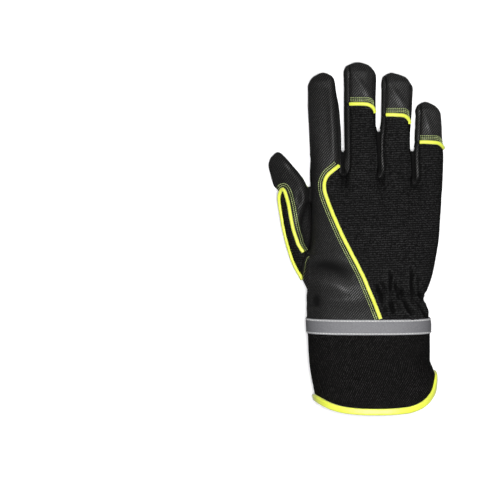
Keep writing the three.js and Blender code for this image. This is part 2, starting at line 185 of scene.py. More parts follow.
# Beside a seam, where seamNear is near 1: a dark seam line, then a painted highlight where the cloth rolls
# up.
seamTone = {"starts": 0.77, "full": 0.95, "least": 0.08, "roll": 0.55, "rollHalf": 0.22, "rollLighter": 1.75}
clothMarks = ("paintedShadeAndLight", "seamNear")
for name, cloth in clothFinishes.items():
    tree, shader, coords = startFinish(name)
    ribs = useGroup(crossTree, coords["UV"], cloth["ribs"])["Height"]
    wear = useGroup(wearTree, coords["Object"])
    marks = [addNode(tree, "ShaderNodeAttribute", attribute_name=mark)["Fac"] for mark in clothMarks]
    # The first mark paints shade into the colour and makes the cloth rough there. Where it is negative,
    # raised is a painted highlight on fold banks, ridges and caps.
    lightLeft = rangeOf(marks[0], paintedShadeTone["open"], paintedShadeTone["closed"], 1.0, paintedShadeTone["least"])
    raised = rangeOf(marks[0], -paintedShadeTone["bank"], 0.0, paintedShadeTone["lighter"], 1.0)
    inSeam = rangeOf(marks[1], seamTone["starts"], seamTone["full"], 1.0, seamTone["least"])
    # Painted highlight on the cloth that rolls up beside a seam.
    fromRoll = calculate("ABSOLUTE", minus(marks[1], seamTone["roll"]))
    paintedSeamHighlight = rangeOf(fromRoll, 0.0, seamTone["rollHalf"], seamTone["rollLighter"], 1.0)
    thread = times(ribs, rangeOf(wear["Fleck"], 0.0, 1.0, *cloth["fleck"]))
    shade = calculate("POWER", thread, cloth["power"])
    for share in (rangeOf(wear["Tone"], 0.0, 1.0, *wornTone), inSeam, paintedSeamHighlight, raised, lightLeft):
        shade = times(shade, share)
    grooves = rangeOf(thread, *grooveEdge, cloth["groove"], 0.0)
    rough = calculate("ADD", rangeOf(wear["Tone"], 0.0, 1.0, *cloth["rough"]), grooves)
    rough = minus(rough, rangeOf(raised, 1.0, paintedShadeTone["lighter"], 0.0, paintedShadeTone["polish"]))
    feedAll(shader, {"Base Color": mixColour(shade, cloth["dark"], cloth["light"]),
                     "Roughness": rangeOf(lightLeft, paintedShadeTone["least"], 1.0, 1.0, rough),
                     "Specular IOR Level": cloth["specular"]})
    addBump(shader, thread, cloth["bump"])

# Hi-vis yellow tape, and sewing thread: yellow-green on the hand and pale grey on the reflective tape.
twisted = {"grainShare": 0.0, "wear": {"Patch size": 0.004, "Fleck size": 0.0005}, "rough": 0.6,
           "sheen": 0.2, "bump": 0.00005}
yarnFinishes = {
    "yellowTrim": {"deep": (0.56, 0.64, 0.03), "pale": (0.73, 0.78, 0.09), "grainShare": 0.35, "rough": 0.4,
                   "wear": {"Patch size": 0.012, "Fleck size": 0.0009}, "sheen": 0.3, "bump": 0.00006},
    "yellowThread": {"deep": (0.20, 0.26, 0.08), "pale": (0.42, 0.50, 0.19), **twisted},
    "greyThread": {"deep": (0.38, 0.38, 0.38), "pale": (0.60, 0.60, 0.58), **twisted},
}
for name, yarn in yarnFinishes.items():
    tree, shader, coords = startFinish(name)
    wear = useGroup(wearTree, coords["Object"], yarn["wear"])
    shade = times(wear["Tone"], 1 - yarn["grainShare"])
    shade = calculate("MULTIPLY_ADD", wear["Fleck"], yarn["grainShare"], shade)
    feedAll(shader, {"Base Color": mixColour(shade, yarn["deep"], yarn["pale"]),
                     "Roughness": yarn["rough"], "Sheen Weight": yarn["sheen"]})
    addBump(shader, wear["Fleck"], yarn["bump"])

# Reflective tape: grey beads in a fine weave, with a paler border along both edges. V runs across it.
tapeFinish = {
    "dark": (0.08, 0.08, 0.086), "light": (0.155, 0.155, 0.165), "border": (0.3, 0.3, 0.31), "width": 12.5,
    "borderWidth": 1.6, "borderSoft": 0.1, "borderRaised": 2.0, "beads": {"Pitch": 0.9, "Second pitch": 0.9},
    "wear": {"Patch size": 0.02, "Fleck size": 0.0008}, "rough": 0.62, "bump": 0.00006,
}
tree, shader, coords = startFinish("reflectiveTape")
beads = useGroup(crossTree, coords["UV"], tapeFinish["beads"])["Height"]
wear = useGroup(wearTree, coords["Object"], tapeFinish["wear"])
acrossTape = addNode(tree, "ShaderNodeSeparateXYZ", {0: coords["UV"]})[1]
fromMiddle = calculate("ABSOLUTE", minus(acrossTape, tapeFinish["width"] / 2))
edgeAt = tapeFinish["width"] / 2 - tapeFinish["borderWidth"]
border = rangeOf(fromMiddle, edgeAt - tapeFinish["borderSoft"], edgeAt + tapeFinish["borderSoft"])
shade = calculate("MULTIPLY_ADD", beads, 0.5, times(wear["Fleck"], 0.5))
colour = mixColour(shade, tapeFinish["dark"], tapeFinish["light"])
feedAll(shader, {"Base Color": mixColour(border, colour, tapeFinish["border"]),
                 "Roughness": tapeFinish["rough"]})
addBump(shader, calculate("MULTIPLY_ADD", border, tapeFinish["borderRaised"], beads), tapeFinish["bump"])
print("finishes ready")

# Sections across each form: y, left, right, low, high. Over a tip they are y, left, right, up to its apex.
handForms = {
    "palm": {"rows": [
        [-72, -36.6, 55.2, 2.2, 46], [-65.5, -36.6, 55.2, 2.2, 46], [-54, -37, 53.4, 1.8, 44],
        [-44.5, -37.4, 51, 1.4, 41.2], [-39, -36.4, 53.4, 1.3, 41.5], [-30, -40.2, 56.6, 1.3, 41],
        [-18, -39.2, 59.4, 1.3, 39.8], [-8, -35.5, 61, 1.3, 38.4], [18, -34.9, 63.4, 1.3, 34.8],
        [31, -34.5, 64, 1.3, 31.6], [36, -34.3, 63.8, 2, 28.5], [41, -31, 60, 4, 22]]},
    "index": {"lean": 0.2, "rows": [
        [22, -33.8, -10, 3, 29], [38, -34.6, -8.2, 1.3, 28], [47, -34.8, -9.2, 1.3, 26],
        [58, -35, -10.6, 1.3, 25], [66, -35.2, -10.8, 1.3, 24.3], [92, -36, -12, 0.9, 22.8],
        [114, -36.7, -14.8, 0, 19.5]],
        "tip": [[114.4, -36.7, -14.8], [118.1, -34.9, -15.5], [121.1, -32.8, -16.6], [123.4, -28.8, -19.8],
                [125, -24.4, -24.2]]},
    "middle": {"rows": [
        [22, -6, 17, 3, 32], [38, -9.2, 19, 1.3, 30.5], [47, -8.6, 18.2, 1.3, 27.5],
        [58, -9.2, 17.6, 1.3, 26], [66, -8.6, 17.2, 1.3, 25.4], [78, -8.6, 16.6, 1.2, 24.4],
        [86, -8.8, 15.9, 1, 23.7], [100, -9, 15.6, 0.8, 22.5], [120, -8.8, 15.6, 0, 19.5]],
        "tip": [[123.4, -9, 15.3], [125.6, -8.8, 14.3], [128.6, -7.4, 12], [130.3, -5, 9.9], [131.7, -1.9, 6],
                [132.5, 1.6, 1.8]]},
    "ring": {"lean": -0.12, "rows": [
        [22, 20, 42, 3, 30], [38, 18, 43.6, 1.3, 28.5], [46, 18.2, 43.4, 1.3, 26.5],
        [62, 17.2, 43, 1.3, 24.5], [68, 17.2, 41.6, 1.3, 24], [78, 17.5, 41.5, 1.1, 23.5],
        [90, 18.8, 41.9, 0.9, 22.8], [113, 19.6, 43.2, 0, 19.5]],
        "tip": [[114.4, 19.4, 42.8], [118.1, 19.8, 40.6], [121.1, 20.8, 37.4], [123.3, 23.9, 31],
                [124.3, 27, 27.2]]},
    "little": {"lean": -0.14, "rows": [
        [18, 46, 62.5, 3, 26], [33, 43, 64.4, 1.3, 26], [41.5, 43.8, 64.9, 1.3, 24.5],
        [62, 43.2, 66, 1.1, 22], [68, 43.8, 65.8, 0.8, 21.6], [78, 44.3, 65.3, 0.4, 20.5],
        [93, 45.3, 64, 0, 18.5]],
        "tip": [[94.1, 44.6, 63.8], [97.1, 45.2, 62.2], [100.1, 46.8, 59.2], [101.7, 48.9, 56.1],
                [102.9, 52.5, 52.7]]},
    "thumb": {"lean": 0.42, "rows": [
        [-44, -33, -22, 4, 16], [-31.5, -40.2, -22.5, 1.3, 18], [-24, -44.4, -27, 1.3, 20],
        [-14, -48.2, -33, 1.3, 21.3], [-6, -50.6, -38.4, 1.3, 22.2], [0, -52.2, -40.6, 1.3, 22.8],
        [8, -54, -41.3, 1.3, 23.4], [14, -55.2, -40.2, 1.3, 23.5], [21, -56.4, -38, 1.3, 23.5],
        [30, -57.4, -35.4, 1.3, 23], [35.5, -58.2, -35.6, 1.3, 22.3], [38.6, -61.6, -36, 1.3, 21.6],
        [43.5, -63.4, -38.8, 1.3, 20.5], [51, -65.4, -44.2, 1.3, 18.5]],
        "tip": [[54.4, -66, -47.2], [58.1, -65.4, -50.2], [61.1, -63.8, -53], [63.4, -61.6, -55.2],
                [65.2, -58.6, -58.4]]},
    "thumbWeb": {"rows": [
        [-44, -30, -16, 4, 13], [-28, -37, -14, 1.3, 14.5], [-14, -42, -14, 1.3, 8.5],
        [0, -46, -16, 1.3, 5.5], [18, -48, -18, 1.3, 5.5], [28, -47, -26, 1.3, 6]]},
    "sleeve": {"rows": [
        [-136, -24.5, 53, 1.3, 47.4], [-121, -30, 57.6, 1.5, 47.2], [-113, -32.2, 59, 1.6, 47],
        [-103, -34.2, 58.8, 1.8, 46.8], [-97, -34.9, 56.8, 2, 46.7], [-91, -35.4, 54.6, 2.2, 46.6]]},
}
handForms["sleeve"]["rows"] += handForms["palm"]["rows"][1:4]  # the sleeve runs on into the hand
handShape = {
    "roundness": [[-200, 2.6], [-56, 2.6], [-38, 2.3], [20, 2.35], [60, 2.8], [200, 2.8]], "pressedFlat": 2.5,
    "tipRows": 16, "tipSag": 0.4, "tipRound": (1.6, 0.02, 0.9), "rowStep": 1.5, "sides": 96, "voxel": 0.85,
    "smoothing": 9, "relax": (0.6, -0.5), "wall": 2.4, "cuffWall": 3.0, "wristSeam": -65.5, "seamGap": 0.2,
    "lowest": 0.3, "innerLowest": 1.2, "innerFollows": 0.6,
}


# A smooth curve through a column of a table that never overshoots its rows.
def between(xs, ys, x):
    xs, ys, x = (np.asarray(a, dtype=float) for a in (xs, ys, x))
    h = np.diff(xs)
    d = np.diff(ys) / h
    slope = np.concatenate([d[:1], np.zeros(len(xs) - 2), d[-1:]])
    for i in range(1, len(xs) - 1):
        if d[i - 1] * d[i] > 0:
            w1, w2 = 2 * h[i] + h[i - 1], h[i] + 2 * h[i - 1]
            slope[i] = (w1 + w2) / (w1 / d[i - 1] + w2 / d[i])
    k = np.clip(np.searchsorted(xs, x) - 1, 0, len(h) - 1)
    t = np.clip((x - xs[k]) / h[k], 0, 1)
    a = (1 + 2 * t) * (1 - t) ** 2 * ys[k] + t * (1 - t) ** 2 * h[k] * slope[k]
    return a + t**2 * (3 - 2 * t) * ys[k + 1] + t**2 * (t - 1) * h[k] * slope[k + 1]


# Sections at some ys: y, left, right, low, high, how much the palm side is pressed flat, lean, roundness.
def rowsAt(form, ys):
    table = np.array(handForms[form]["rows"], dtype=float)
    columns = [between(table[:, 0], table[:, c], ys) for c in range(1, 5)]
    lean = np.full(len(ys), handForms[form].get("lean", 0.0))
    roundness = between(*np.array(handShape["roundness"]).T, ys)
    return np.stack([np.asarray(ys, dtype=float), *columns, np.ones(len(ys)), lean, roundness], axis=1)


# Points of sections at angles, 0 to the right and 90 on top, moved outwards by grow.
def onSections(rows, degrees, grow=0.0):
    y, left, right, low, high, flat, lean, roundness = (rows[:, c : c + 1] for c in range(8))
    angle = np.radians(degrees)[None, :] if np.ndim(degrees) == 1 else np.radians(degrees)
    power = 2 / roundness
    middle = (low + high) / 2
    c = np.sign(np.cos(angle)) * np.abs(np.cos(angle)) ** power
    v = np.sign(np.sin(angle)) * np.abs(np.sin(angle)) ** power
    down = middle - low + grow + handShape["pressedFlat"] * flat
    z = np.where(v > 0, middle + (high - middle + grow) * v, np.maximum(middle + down * v, low - grow))
    x = (left + right) / 2 + ((right - left) / 2 + grow) * c
    z = z + lean * (x - (left + right) / 2) * np.clip(v, 0, 1)
    return np.stack([x, y + 0 * x, z], axis=-1)


def formRows(form):
    rows = handForms[form]["rows"]
    count = max(2, round((rows[-1][0] - rows[0][0]) / handShape["rowStep"]))
    body = rowsAt(form, np.linspace(rows[0][0], rows[-1][0], count))
    if "tip" not in handForms[form]:
        return body
    last = body[-1]
    outline = np.array([last[:3], *handForms[form]["tip"]])
    apex = outline[-1, 0]
    ys = apex - (apex - last[0]) * np.linspace(1, 0, handShape["tipRows"])[1:] ** 2
    spread = (outline[:, 2] - outline[:, 1]) ** 2  # squared, it falls evenly towards a round end
    half = np.sqrt(between(outline[:, 0], spread, ys)) / 2
    middles = between(outline[:, 0], (outline[:, 1] + outline[:, 2]) / 2, ys)
    gain, least, power = handShape["tipRound"]
    share = np.sqrt(np.clip((apex - ys) / (apex - last[0]), 0, 1) * gain).clip(least, 1) ** power
    closeAt = last[3] + (last[4] - last[3]) * handShape["tipSag"]
    heights = [closeAt + (last[c] - closeAt) * share for c in (3, 4)]
    same = [last[c] + 0 * ys for c in (6, 7)]
    return np.vstack([body, np.stack([ys, middles - half, middles + half, *heights, share, *same], axis=1)])


def gridFaces(rows, sides, closed=False):
    faces = []
    for r in range(rows if closed else rows - 1):
        s = (r + 1) % rows
        for i in range(sides):
            j = (i + 1) % sides
            faces.append((r * sides + i, r * sides + j, s * sides + j, s * sides + i))
    return faces


def closedForm(form):
    sides = handShape["sides"]
    rings = onSections(formRows(form), (np.arange(sides) + 0.5) * 360 / sides)
    points = list(rings.reshape(-1, 3))
    faces = gridFaces(len(rings), sides)
    for ring, turn in ((0, 1), (len(rings) - 1, -1)):
        points.append(rings[ring].mean(axis=0))
        for i in range(sides):
            pair = (ring * sides + (i + 1) % sides, ring * sides + i)
            faces.append((len(points) - 1, *pair[::turn]))
    return points, faces


def meshOf(name, points, faces):
    mesh = bpy.data.meshes.new(name)
    mesh.from_pydata([tuple(map(float, p)) for p in points], [], [tuple(map(int, f)) for f in faces])
    mesh.update()
    return mesh


# The plain mesh of a helper object with its modifier run. The helper goes.
def plainMesh(helper):
    made = bpy.data.meshes.new_from_object(helper.evaluated_get(bpy.context.evaluated_depsgraph_get()))
    bpy.data.objects.remove(helper)
    return made


def surfaceOf(points, faces):
    return BVHTree.FromPolygons([tuple(p) for p in points], [tuple(map(int, f)) for f in faces])


def running(steps):
    return np.concatenate([[0], np.cumsum(steps)])


def unit(vectors):
    return vectors / np.maximum(np.linalg.norm(vectors, axis=-1, keepdims=True), 1e-12)


def normalsOf(points, triangles):
    a, b, c = (points[triangles[:, k]] for k in range(3))
    face = np.cross(b - a, c - a)
    total = np.zeros_like(points)
    for k in range(3):
        np.add.at(total, triangles[:, k], face)
    return unit(total)


def edgesOf(triangles):
    return triangles[:, [0, 1, 1, 2, 2, 0]].reshape(-1, 2)


# The glove lies on the floor: nothing goes under its lowest height.
def liftedTo(points, lowest):
    points[..., 2] = np.maximum(points[..., 2], lowest)
    return points


def valuesOf(items, label, kind=float):
    values = np.empty(len(items) * 3, dtype=kind)
    items.foreach_get(label, values)
    return values.reshape(-1, 3)


# The whole hand as one skin: the forms melt together, and the joins between them are rounded off.
skinPoints, skinFaces = [], []
for form in ("palm", "index", "middle", "ring", "little", "thumb", "thumbWeb"):
    points, faces = closedForm(form)
    skinFaces += [tuple(i + len(skinPoints) for i in face) for face in faces]
    skinPoints += points
rough = addObject("skin", meshOf("skin", skinPoints, skinFaces))
remesh = rough.modifiers.new("remesh", "REMESH")
remesh.mode = "VOXEL"
remesh.voxel_size = handShape["voxel"]
melted = plainMesh(rough)
melted.calc_loop_triangles()
skin = valuesOf(melted.vertices, "co")
skinTriangles = valuesOf(melted.loop_triangles, "vertices", np.int64)
skinEdges = np.unique(np.sort(edgesOf(skinTriangles), axis=1), axis=0)
degree = np.bincount(skinEdges.ravel(), minlength=len(skin))[:, None]


def relaxed(values, amount):
    total = np.zeros_like(values)
    np.add.at(total, skinEdges[:, 0], values[skinEdges[:, 1]])
    np.add.at(total, skinEdges[:, 1], values[skinEdges[:, 0]])
    return values + (total / degree - values) * amount


for _ in range(handShape["smoothing"]):
    for amount in handShape["relax"]:
        skin = relaxed(skin, amount)
skinNormals = normalsOf(skin, skinTriangles)
print("hand form ready:", len(skinTriangles), "triangles")


# A rounded line through some points, its knots spaced by the square root of their distances.
def curveThrough(points, step=0.7, closed=False):
    points = np.array(points, dtype=float)
    ends = [points[-1], points[:2]] if closed else [2 * points[0] - points[1], 2 * points[-1] - points[-2]]
    padded = np.vstack([ends[0], points, ends[1]])
    result = []
    for k in range(1, len(padded) - 2):
        four = padded[k - 1 : k + 3]
        gaps = [math.sqrt(max(1e-9, np.linalg.norm(b - a))) for a, b in zip(four, four[1:])]
        t = running(gaps)
        count = max(2, int(np.linalg.norm(four[2] - four[1]) / step))
        for u in np.linspace(t[1], t[2], count, endpoint=False):
            a = [four[i] + (four[i + 1] - four[i]) * (u - t[i]) / (t[i + 1] - t[i]) for i in range(3)]
            b = [a[i] + (a[i + 1] - a[i]) * (u - t[i]) / (t[i + 2] - t[i]) for i in range(2)]
            result.append(b[0] + (b[1] - b[0]) * (u - t[1]) / (t[2] - t[1]))
    return np.array(result if closed else [*result, points[-1]])


# Seams, from above. The side seam is a table of y and z, and the back is what lies over it.
seams = {
    "back": [[-12.6, 55], [-15, 52.5], [-21, 47.5], [-23.8, 42], [-23.8, 36], [-20, 24], [-9, -1.5],
             [4.1, -27], [8, -36.2], [12, -45.8], [17.5, -59.8], [21.6, -71]],
    "thumbRoot": [[-35.4, 50], [-35.6, 28], [-35.8, 12], [-35.8, -2], [-37, -10.5], [-39.6, -18],
                  [-41.2, -26], [-43, -36], [-45, -48]],
    "inset": [[-64, 36.4], [-58, 37.4], [-55.4, 35], [-52.4, 26], [-49.6, 14], [-47, 4], [-43.5, -4],
              [-38.4, -10.4], [-35, -14]],
    "thumbSeat": [[-35.5, 60], [-35.4, 36], [-31, 26], [-20, 8], [-11, -8], [-7.4, -24], [-11, -38],
                  [-22, -47.4], [-36, -46], [-46, -36]],
}
sideSeam = np.array([[-80, 20], [-60, 17], [-40, 10.5], [-20, 10], [40, 10], [70, 9.2], [150, 8.8]]).T
gussets = {
    "index_middle": {"left": "index", "right": "middle", "web": 51, "shows": (2.3, 4.2), "foot": (46.2, 3.4)},
    "middle_ring": {"left": "middle", "right": "ring", "web": 49.5, "shows": (1.0, 3.2), "foot": (44.6, 1.4)},
    "ring_little": {"left": "ring", "right": "little", "web": 46, "shows": (1.0, 3.7), "foot": (39.8, 1.4)},
}
gussetShape = {"beyond": (2, 18, 38), "past": 30, "footRises": 0.8}
capSeams = {
    "middle": {"y": 100.4, "drop": 9.5, "angles": (125, 27)},
    "ring": {"y": 92.2, "drop": 9.5, "angles": (125, 27)},
    "little": {"y": 71.8, "drop": 4.4, "angles": (120, 2)},
}
capFall = [[0.06, 0], [0.5, 0], [0.7, 0.04], [0.85, 0.21], [0.95, 0.5], [1.06, 0.9]]
patches = {
    "heel_patch": [[-17.3, 12.8], [-12, 15.2], [2.3, 14], [32.3, 5.8], [52, -1], [59, -10], [57.4, -26],
                   [52.5, -46], [42, -54.6], [22, -56], [6, -52], [-1.6, -46], [-4.6, -26], [-7.4, -4]],
    "knuckle_patch": [[-32.6, 46], [-32, 58], [-26, 67.6], [-17, 67.4], [-11.8, 58], [-14.2, 45.5],
                      [-8, 42.8], [4.2, 49.6], [10.6, 42.8], [21.8, 42.8], [33.4, 43.6], [43, 30],
                      [60.8, 23.6], [64, 21.6], [64, 3.4], [32.3, 12.8], [9.8, 19.5], [-15, 23.6],
                      [-33, 29.2]],
    "thumb_patch": [[-43.8, 48], [-51.6, 38], [-52, 25.7], [-47.6, 9.5], [-39.8, -4.5], [-35.8, 10],
                    [-34.6, 26], [-39, 40]],
}


def edgeOf(form, y, column):
    return float(rowsAt(form, [y])[0, column])


def gussetLine(gusset):
    left, right, web = gusset["left"], gusset["right"], gusset["web"]
    (leftShows, rightShows), past = gusset["shows"], gussetShape["past"]
    heights = [web + beyond for beyond in gussetShape["beyond"]]
    ends = [handForms[form]["rows"][-1][0] for form in (left, right)]
    (low, half), middle = gusset["foot"], (edgeOf(left, web, 2) + edgeOf(right, web, 1)) / 2
    raised = low + gussetShape["footRises"] * half
    foot = [[middle - half, raised], [middle, low], [middle + half, raised]]
    down = [[edgeOf(left, ends[0], 2) - leftShows, ends[0] + past]]
    down += [[edgeOf(left, y, 2) - leftShows, y] for y in heights[::-1]]
    up = [[edgeOf(right, y, 1) + rightShows, y] for y in heights]
    up += [[edgeOf(right, ends[1], 1) + rightShows, ends[1] + past]]
    return curveThrough([*down, *foot, *up])


def capLine(form, cap):
    y, drop = cap["y"], cap["drop"]
    left, right = edgeOf(form, y, 1), edgeOf(form, y, 2)
    return curveThrough([[left + (right - left) * share, y - drop * fall] for share, fall in capFall])


lines = {name: curveThrough(points) for name, points in seams.items()}
lines |= {name: gussetLine(gusset) for name, gusset in gussets.items()}
lines |= {name + "_cap": capLine(name, cap) for name, cap in capSeams.items()}


def overSide(places):
    return places[:, 2] - between(*sideSeam, places[:, 1])


def closedLoop(line):
    return np.vstack([line, line[:1]])


# The nearest point of a line to each place, how far it is, and how far along the line.
def nearestOn(line, places, reach=12.0, atOnce=4000):
    distance = np.full(len(places), reach)
    nearest = np.array(places[:, :2])
    along = np.zeros(len(places))
    low, high = line.min(axis=0) - reach, line.max(axis=0) + reach
    wanted = np.flatnonzero(((places[:, :2] > low) & (places[:, :2] < high)).all(axis=1))
    a, ab = line[:-1], np.diff(line, axis=0)
    length = np.maximum((ab**2).sum(axis=1), 1e-12)
    steps = running(np.sqrt(length))
    for part in np.array_split(wanted, max(1, len(wanted) // atOnce)):
        p = places[part][:, None, :2]
        t = np.clip(((p - a) * ab).sum(axis=2) / length, 0, 1)
        foot = a + ab * t[:, :, None]
        gap = ((p - foot) ** 2).sum(axis=2)
        k = gap.argmin(axis=1)
        rows = np.arange(len(part))
        distance[part] = np.minimum(np.sqrt(gap[rows, k]), reach)
        nearest[part] = foot[rows, k]
        along[part] = steps[k] + t[rows, k] * np.sqrt(length[k])
    return distance, nearest, along


def insideOf(outline, places):
    inside = np.zeros(len(places), dtype=bool)
    for (ax, ay), (bx, by) in zip(outline, np.roll(outline, -1, axis=0)):
        if ay == by:
            continue
        crosses = (ay > places[:, 1]) != (by > places[:, 1])
        inside ^= crosses & (places[:, 0] < (bx - ax) * (places[:, 1] - ay) / (by - ay) + ax)
    return inside


# Broad waves over some places, from random directions and lengths.
def addWaves(total, places, shape):
    random = np.random.RandomState(shape["seed"])
    for _ in range(shape["waves"]):
        direction = random.normal(size=3)
        direction *= 2 * math.pi / random.uniform(*shape["size"]) / np.linalg.norm(direction)
        phase = random.uniform(0, 6.3)
        total += shape["depth"] / math.sqrt(shape["waves"]) * np.sin(places @ direction + phase)


def bell(distance, width, power=2):
    return np.exp(-((distance / width) ** power))


# Folds and hollows: width, depth (a ridge has a negative one) and the way they run, as x, y.
folds = {
    "back": [
        [5.0, 3.0, [-40, -21.5], [-27, -19.8], [-15.8, -22.1], [-2, -29]],
        [4.0, 3.4, [-31.6, -41.5], [-31.8, -46.5], [-31, -51.5]],
        [6.0, -1.8, [-34, -32.5], [-20, -34.5], [-4, -43]], [6.0, 1.5, [-63.5, 58], [-60.5, 47], [-56, 36]],
        [4.0, 1.3, [-34.6, 92], [-34, 60], [-33.6, 20], [-34, -10]],
        [1.6, 1.3, [-43.6, 35], [-42.2, 30], [-43.6, 25]], [1.0, 3.0, [17.4, 81], [17.6, 62], [17.5, 48]],
        [1.0, 3.0, [43, 67], [43.4, 56], [43.4, 43]], [1.0, 2.5, [-9.9, 60], [-9.7, 55], [-9.4, 49]],
        [1.1, 3.1, [24.3, -25], [25.3, -29], [25, -35], [25.8, -42]],
        [1.2, 3.2, [40.4, -22], [41.3, -27.6], [40.6, -34], [43, -46]],
        [1.5, 3.2, [32, -37.6], [33.2, -41], [32.6, -44]],
        [1.6, 3.0, [16.2, -38.5], [18.6, -42.6], [19.2, -46]],
        [1.3, 2.6, [13.4, -33], [15.8, -37.6], [16.4, -41.5]],
        [1.3, 2.4, [46.8, -38], [47.6, -42.6], [51, -47]],
        [1.2, 2.2, [28.4, -30], [28.2, -35], [29.6, -40]], [1.2, 2.2, [25, -47.5], [26.6, -52], [27, -58]],
        [2.6, -1.6, [28.6, -27], [28.8, -38]], [2.4, -1.6, [36.6, -27], [37.2, -39]],
        [2.4, -1.7, [27.6, -45], [31.6, -58]], [2.6, -1.6, [41.6, -49.5], [46.8, -59]],
        [2.4, -1.4, [21.5, -25], [21.6, -33]], [2.6, -1.4, [46, -34], [47.6, -44]],
        [1.2, 2.4, [16.9, -31.5], [20.8, -38], [22, -43.5]],
        [1.2, 2.8, [28.6, -36.5], [30.8, -41.5], [32.8, -46]],
        [1.1, 2.6, [33.8, -37.5], [34.4, -42], [35, -46.5]],
        [1.5, 3.0, [35.2, -43.5], [37.9, -51.6], [43.2, -58.5]],
        [1.4, 2.3, [44.4, -45], [49.4, -53.5], [54, -61]],
        [1.3, 1.9, [13.6, -36.5], [16.6, -42.5], [19.4, -49]],
        [1.2, 1.4, [25.4, -43], [25.7, -55]], [1.2, 1.3, [29.6, -45], [31.8, -57]],
        [1.3, 1.3, [47, -27], [46.2, -42]], [1.2, 1.2, [20, -46], [21.8, -57]],
        [1.2, 1.2, [36.6, -29], [37.6, -41]], [1.2, 1.1, [41, -46], [47.4, -57]],
        [2.0, 1.3, [8, -44.5], [26, -43.6], [42, -43.4], [57, -42.2]],
        [2.6, -1.2, [-5.6, 127], [3, 116], [11.9, 105]], [2.6, -1.2, [21.5, 120], [30, 108], [39.5, 96]],
        [2.6, -1.1, [48.6, 99], [53, 89], [58, 77]], [2.2, -1.5, [-20, 119], [-18.6, 96], [-16.6, 62]],
        [3.0, 0.9, [12, 129], [11.5, 118], [14, 108]], [2.4, 0.8, [-50, 28], [-46, 20], [-45, 10]],
        [2.6, 0.7, [-56, 48], [-49, 44], [-44, 36]]],
    "palm": [
        [1.6, 1.6, [57, -42.2], [48, -42.8]], [2.0, 1.3, [-24, 22], [-21, -6], [-15, -34]],
        [2.2, 1.2, [-18.5, 14], [-16, -4], [-10.5, -24]], [2.2, 1.0, [-29, 20], [-29.5, -4], [-27, -28]],
        [2.4, 0.8, [-34, 16], [-36, -20]], [2.6, 0.9, [-13, 24], [-8, 10], [-2, -2]],
        [2.6, 0.8, [49, 26], [55, 6]], [2.6, 0.9, [24, 48], [31, 40], [40, 34]],
        [3.2, 0.9, [-30, 36], [-20, 33], [-8, 32]], [2.6, 0.9, [-9, -10], [-5, -22], [0, -34]],
        [3.0, 0.7, [-28, 50], [-24, 38]], [2.4, 0.7, [3, 38], [14, 46]]],
}
# A narrow fold has raised banks. The bottoms get painted shadow, and banks and ridges get painted highlights.
foldShape = {"reach": 3.5, "within": 3.4, "ends": (0.03, 0.97), "fading": 0.6, "bank": 0.35,
             "bankUnder": 2, "bankAt": 1.9, "bankWidth": 0.8, "shade": 0.19, "sharpUnder": 1.7,
             "sharpShade": 1.5, "bankLight": 0.7, "ridgeLight": 0.2}
# Depth and width of the dip along each seam.
creases = {"back": (0.9, 1.5), "thumbRoot": (0.8, 1.6), "inset": (0.8, 1.4), "thumbSeat": (0.8, 1.3)}
creases |= {name: (1.3, 1.0) for name in gussets} | {name + "_cap": (0.7, 1.3) for name in capSeams}
sideCrease = (0.8, 1.3)
skinWaves = {"seed": 7, "waves": 28, "size": (18, 46), "depth": 0.30}


# Each seam with its distance from every place, and whether the place is on the seam's side of the glove.
def seamDistances(places, over, slack=0.0):
    for name, crease in creases.items():
        onSide = over <= slack if name == "thumbSeat" else over > -slack
        yield crease, nearestOn(lines[name], places)[0], onSide


overSeam = overSide(skin)
isBack = overSeam > 0
sink = sideCrease[0] * bell(overSeam, sideCrease[1])
for (depth, width), distance, onSide in seamDistances(skin, overSeam):
    sink = np.maximum(sink, onSide * depth * bell(distance, width))
shadow, paintedHighlight = np.zeros(len(skin)), np.zeros(len(skin))
for side, table in folds.items():
    for width, depth, *way in table:
        line = curveThrough(way)
        distance, _, along = nearestOn(line, skin, foldShape["reach"] * width)
        length = np.linalg.norm(np.diff(line, axis=0), axis=1).sum()
        here = (isBack if side == "back" else ~isBack) & (distance < foldShape["within"] * width)
        share = np.clip(along / length, *foldShape["ends"])
        fade = here * np.sin(math.pi * share) ** foldShape["fading"]
        valley = bell(distance, width)
        banks = foldShape["bank"] if width < foldShape["bankUnder"] else 0.0
        banks = banks * bell(distance - foldShape["bankAt"] * width, foldShape["bankWidth"] * width)
        sink += depth * fade * (valley - banks)
        # Painted shadow in the bottom of each fold, and painted highlight on its banks and on ridges.
        shade = foldShape["shade"] * (foldShape["sharpShade"] if width < foldShape["sharpUnder"] else 1)
        shadow = np.maximum(shadow, shade * max(0, depth) * fade * valley)
        light = foldShape["bankLight"] * max(0, depth) * banks
        paintedHighlight = np.maximum(paintedHighlight, fade * (light + foldShape["ridgeLight"] * max(0, -depth) * valley))
addWaves(sink, skin, skinWaves)
thickness = handShape["wall"] + handShape["innerFollows"] * sink
skinInner = liftedTo(skin - skinNormals * thickness[:, None], handShape["innerLowest"])
skin = liftedTo(skin - skinNormals * sink[:, None], handShape["lowest"])
skinNormals = normalsOf(skin, skinTriangles)
print("seams and folds pressed in")

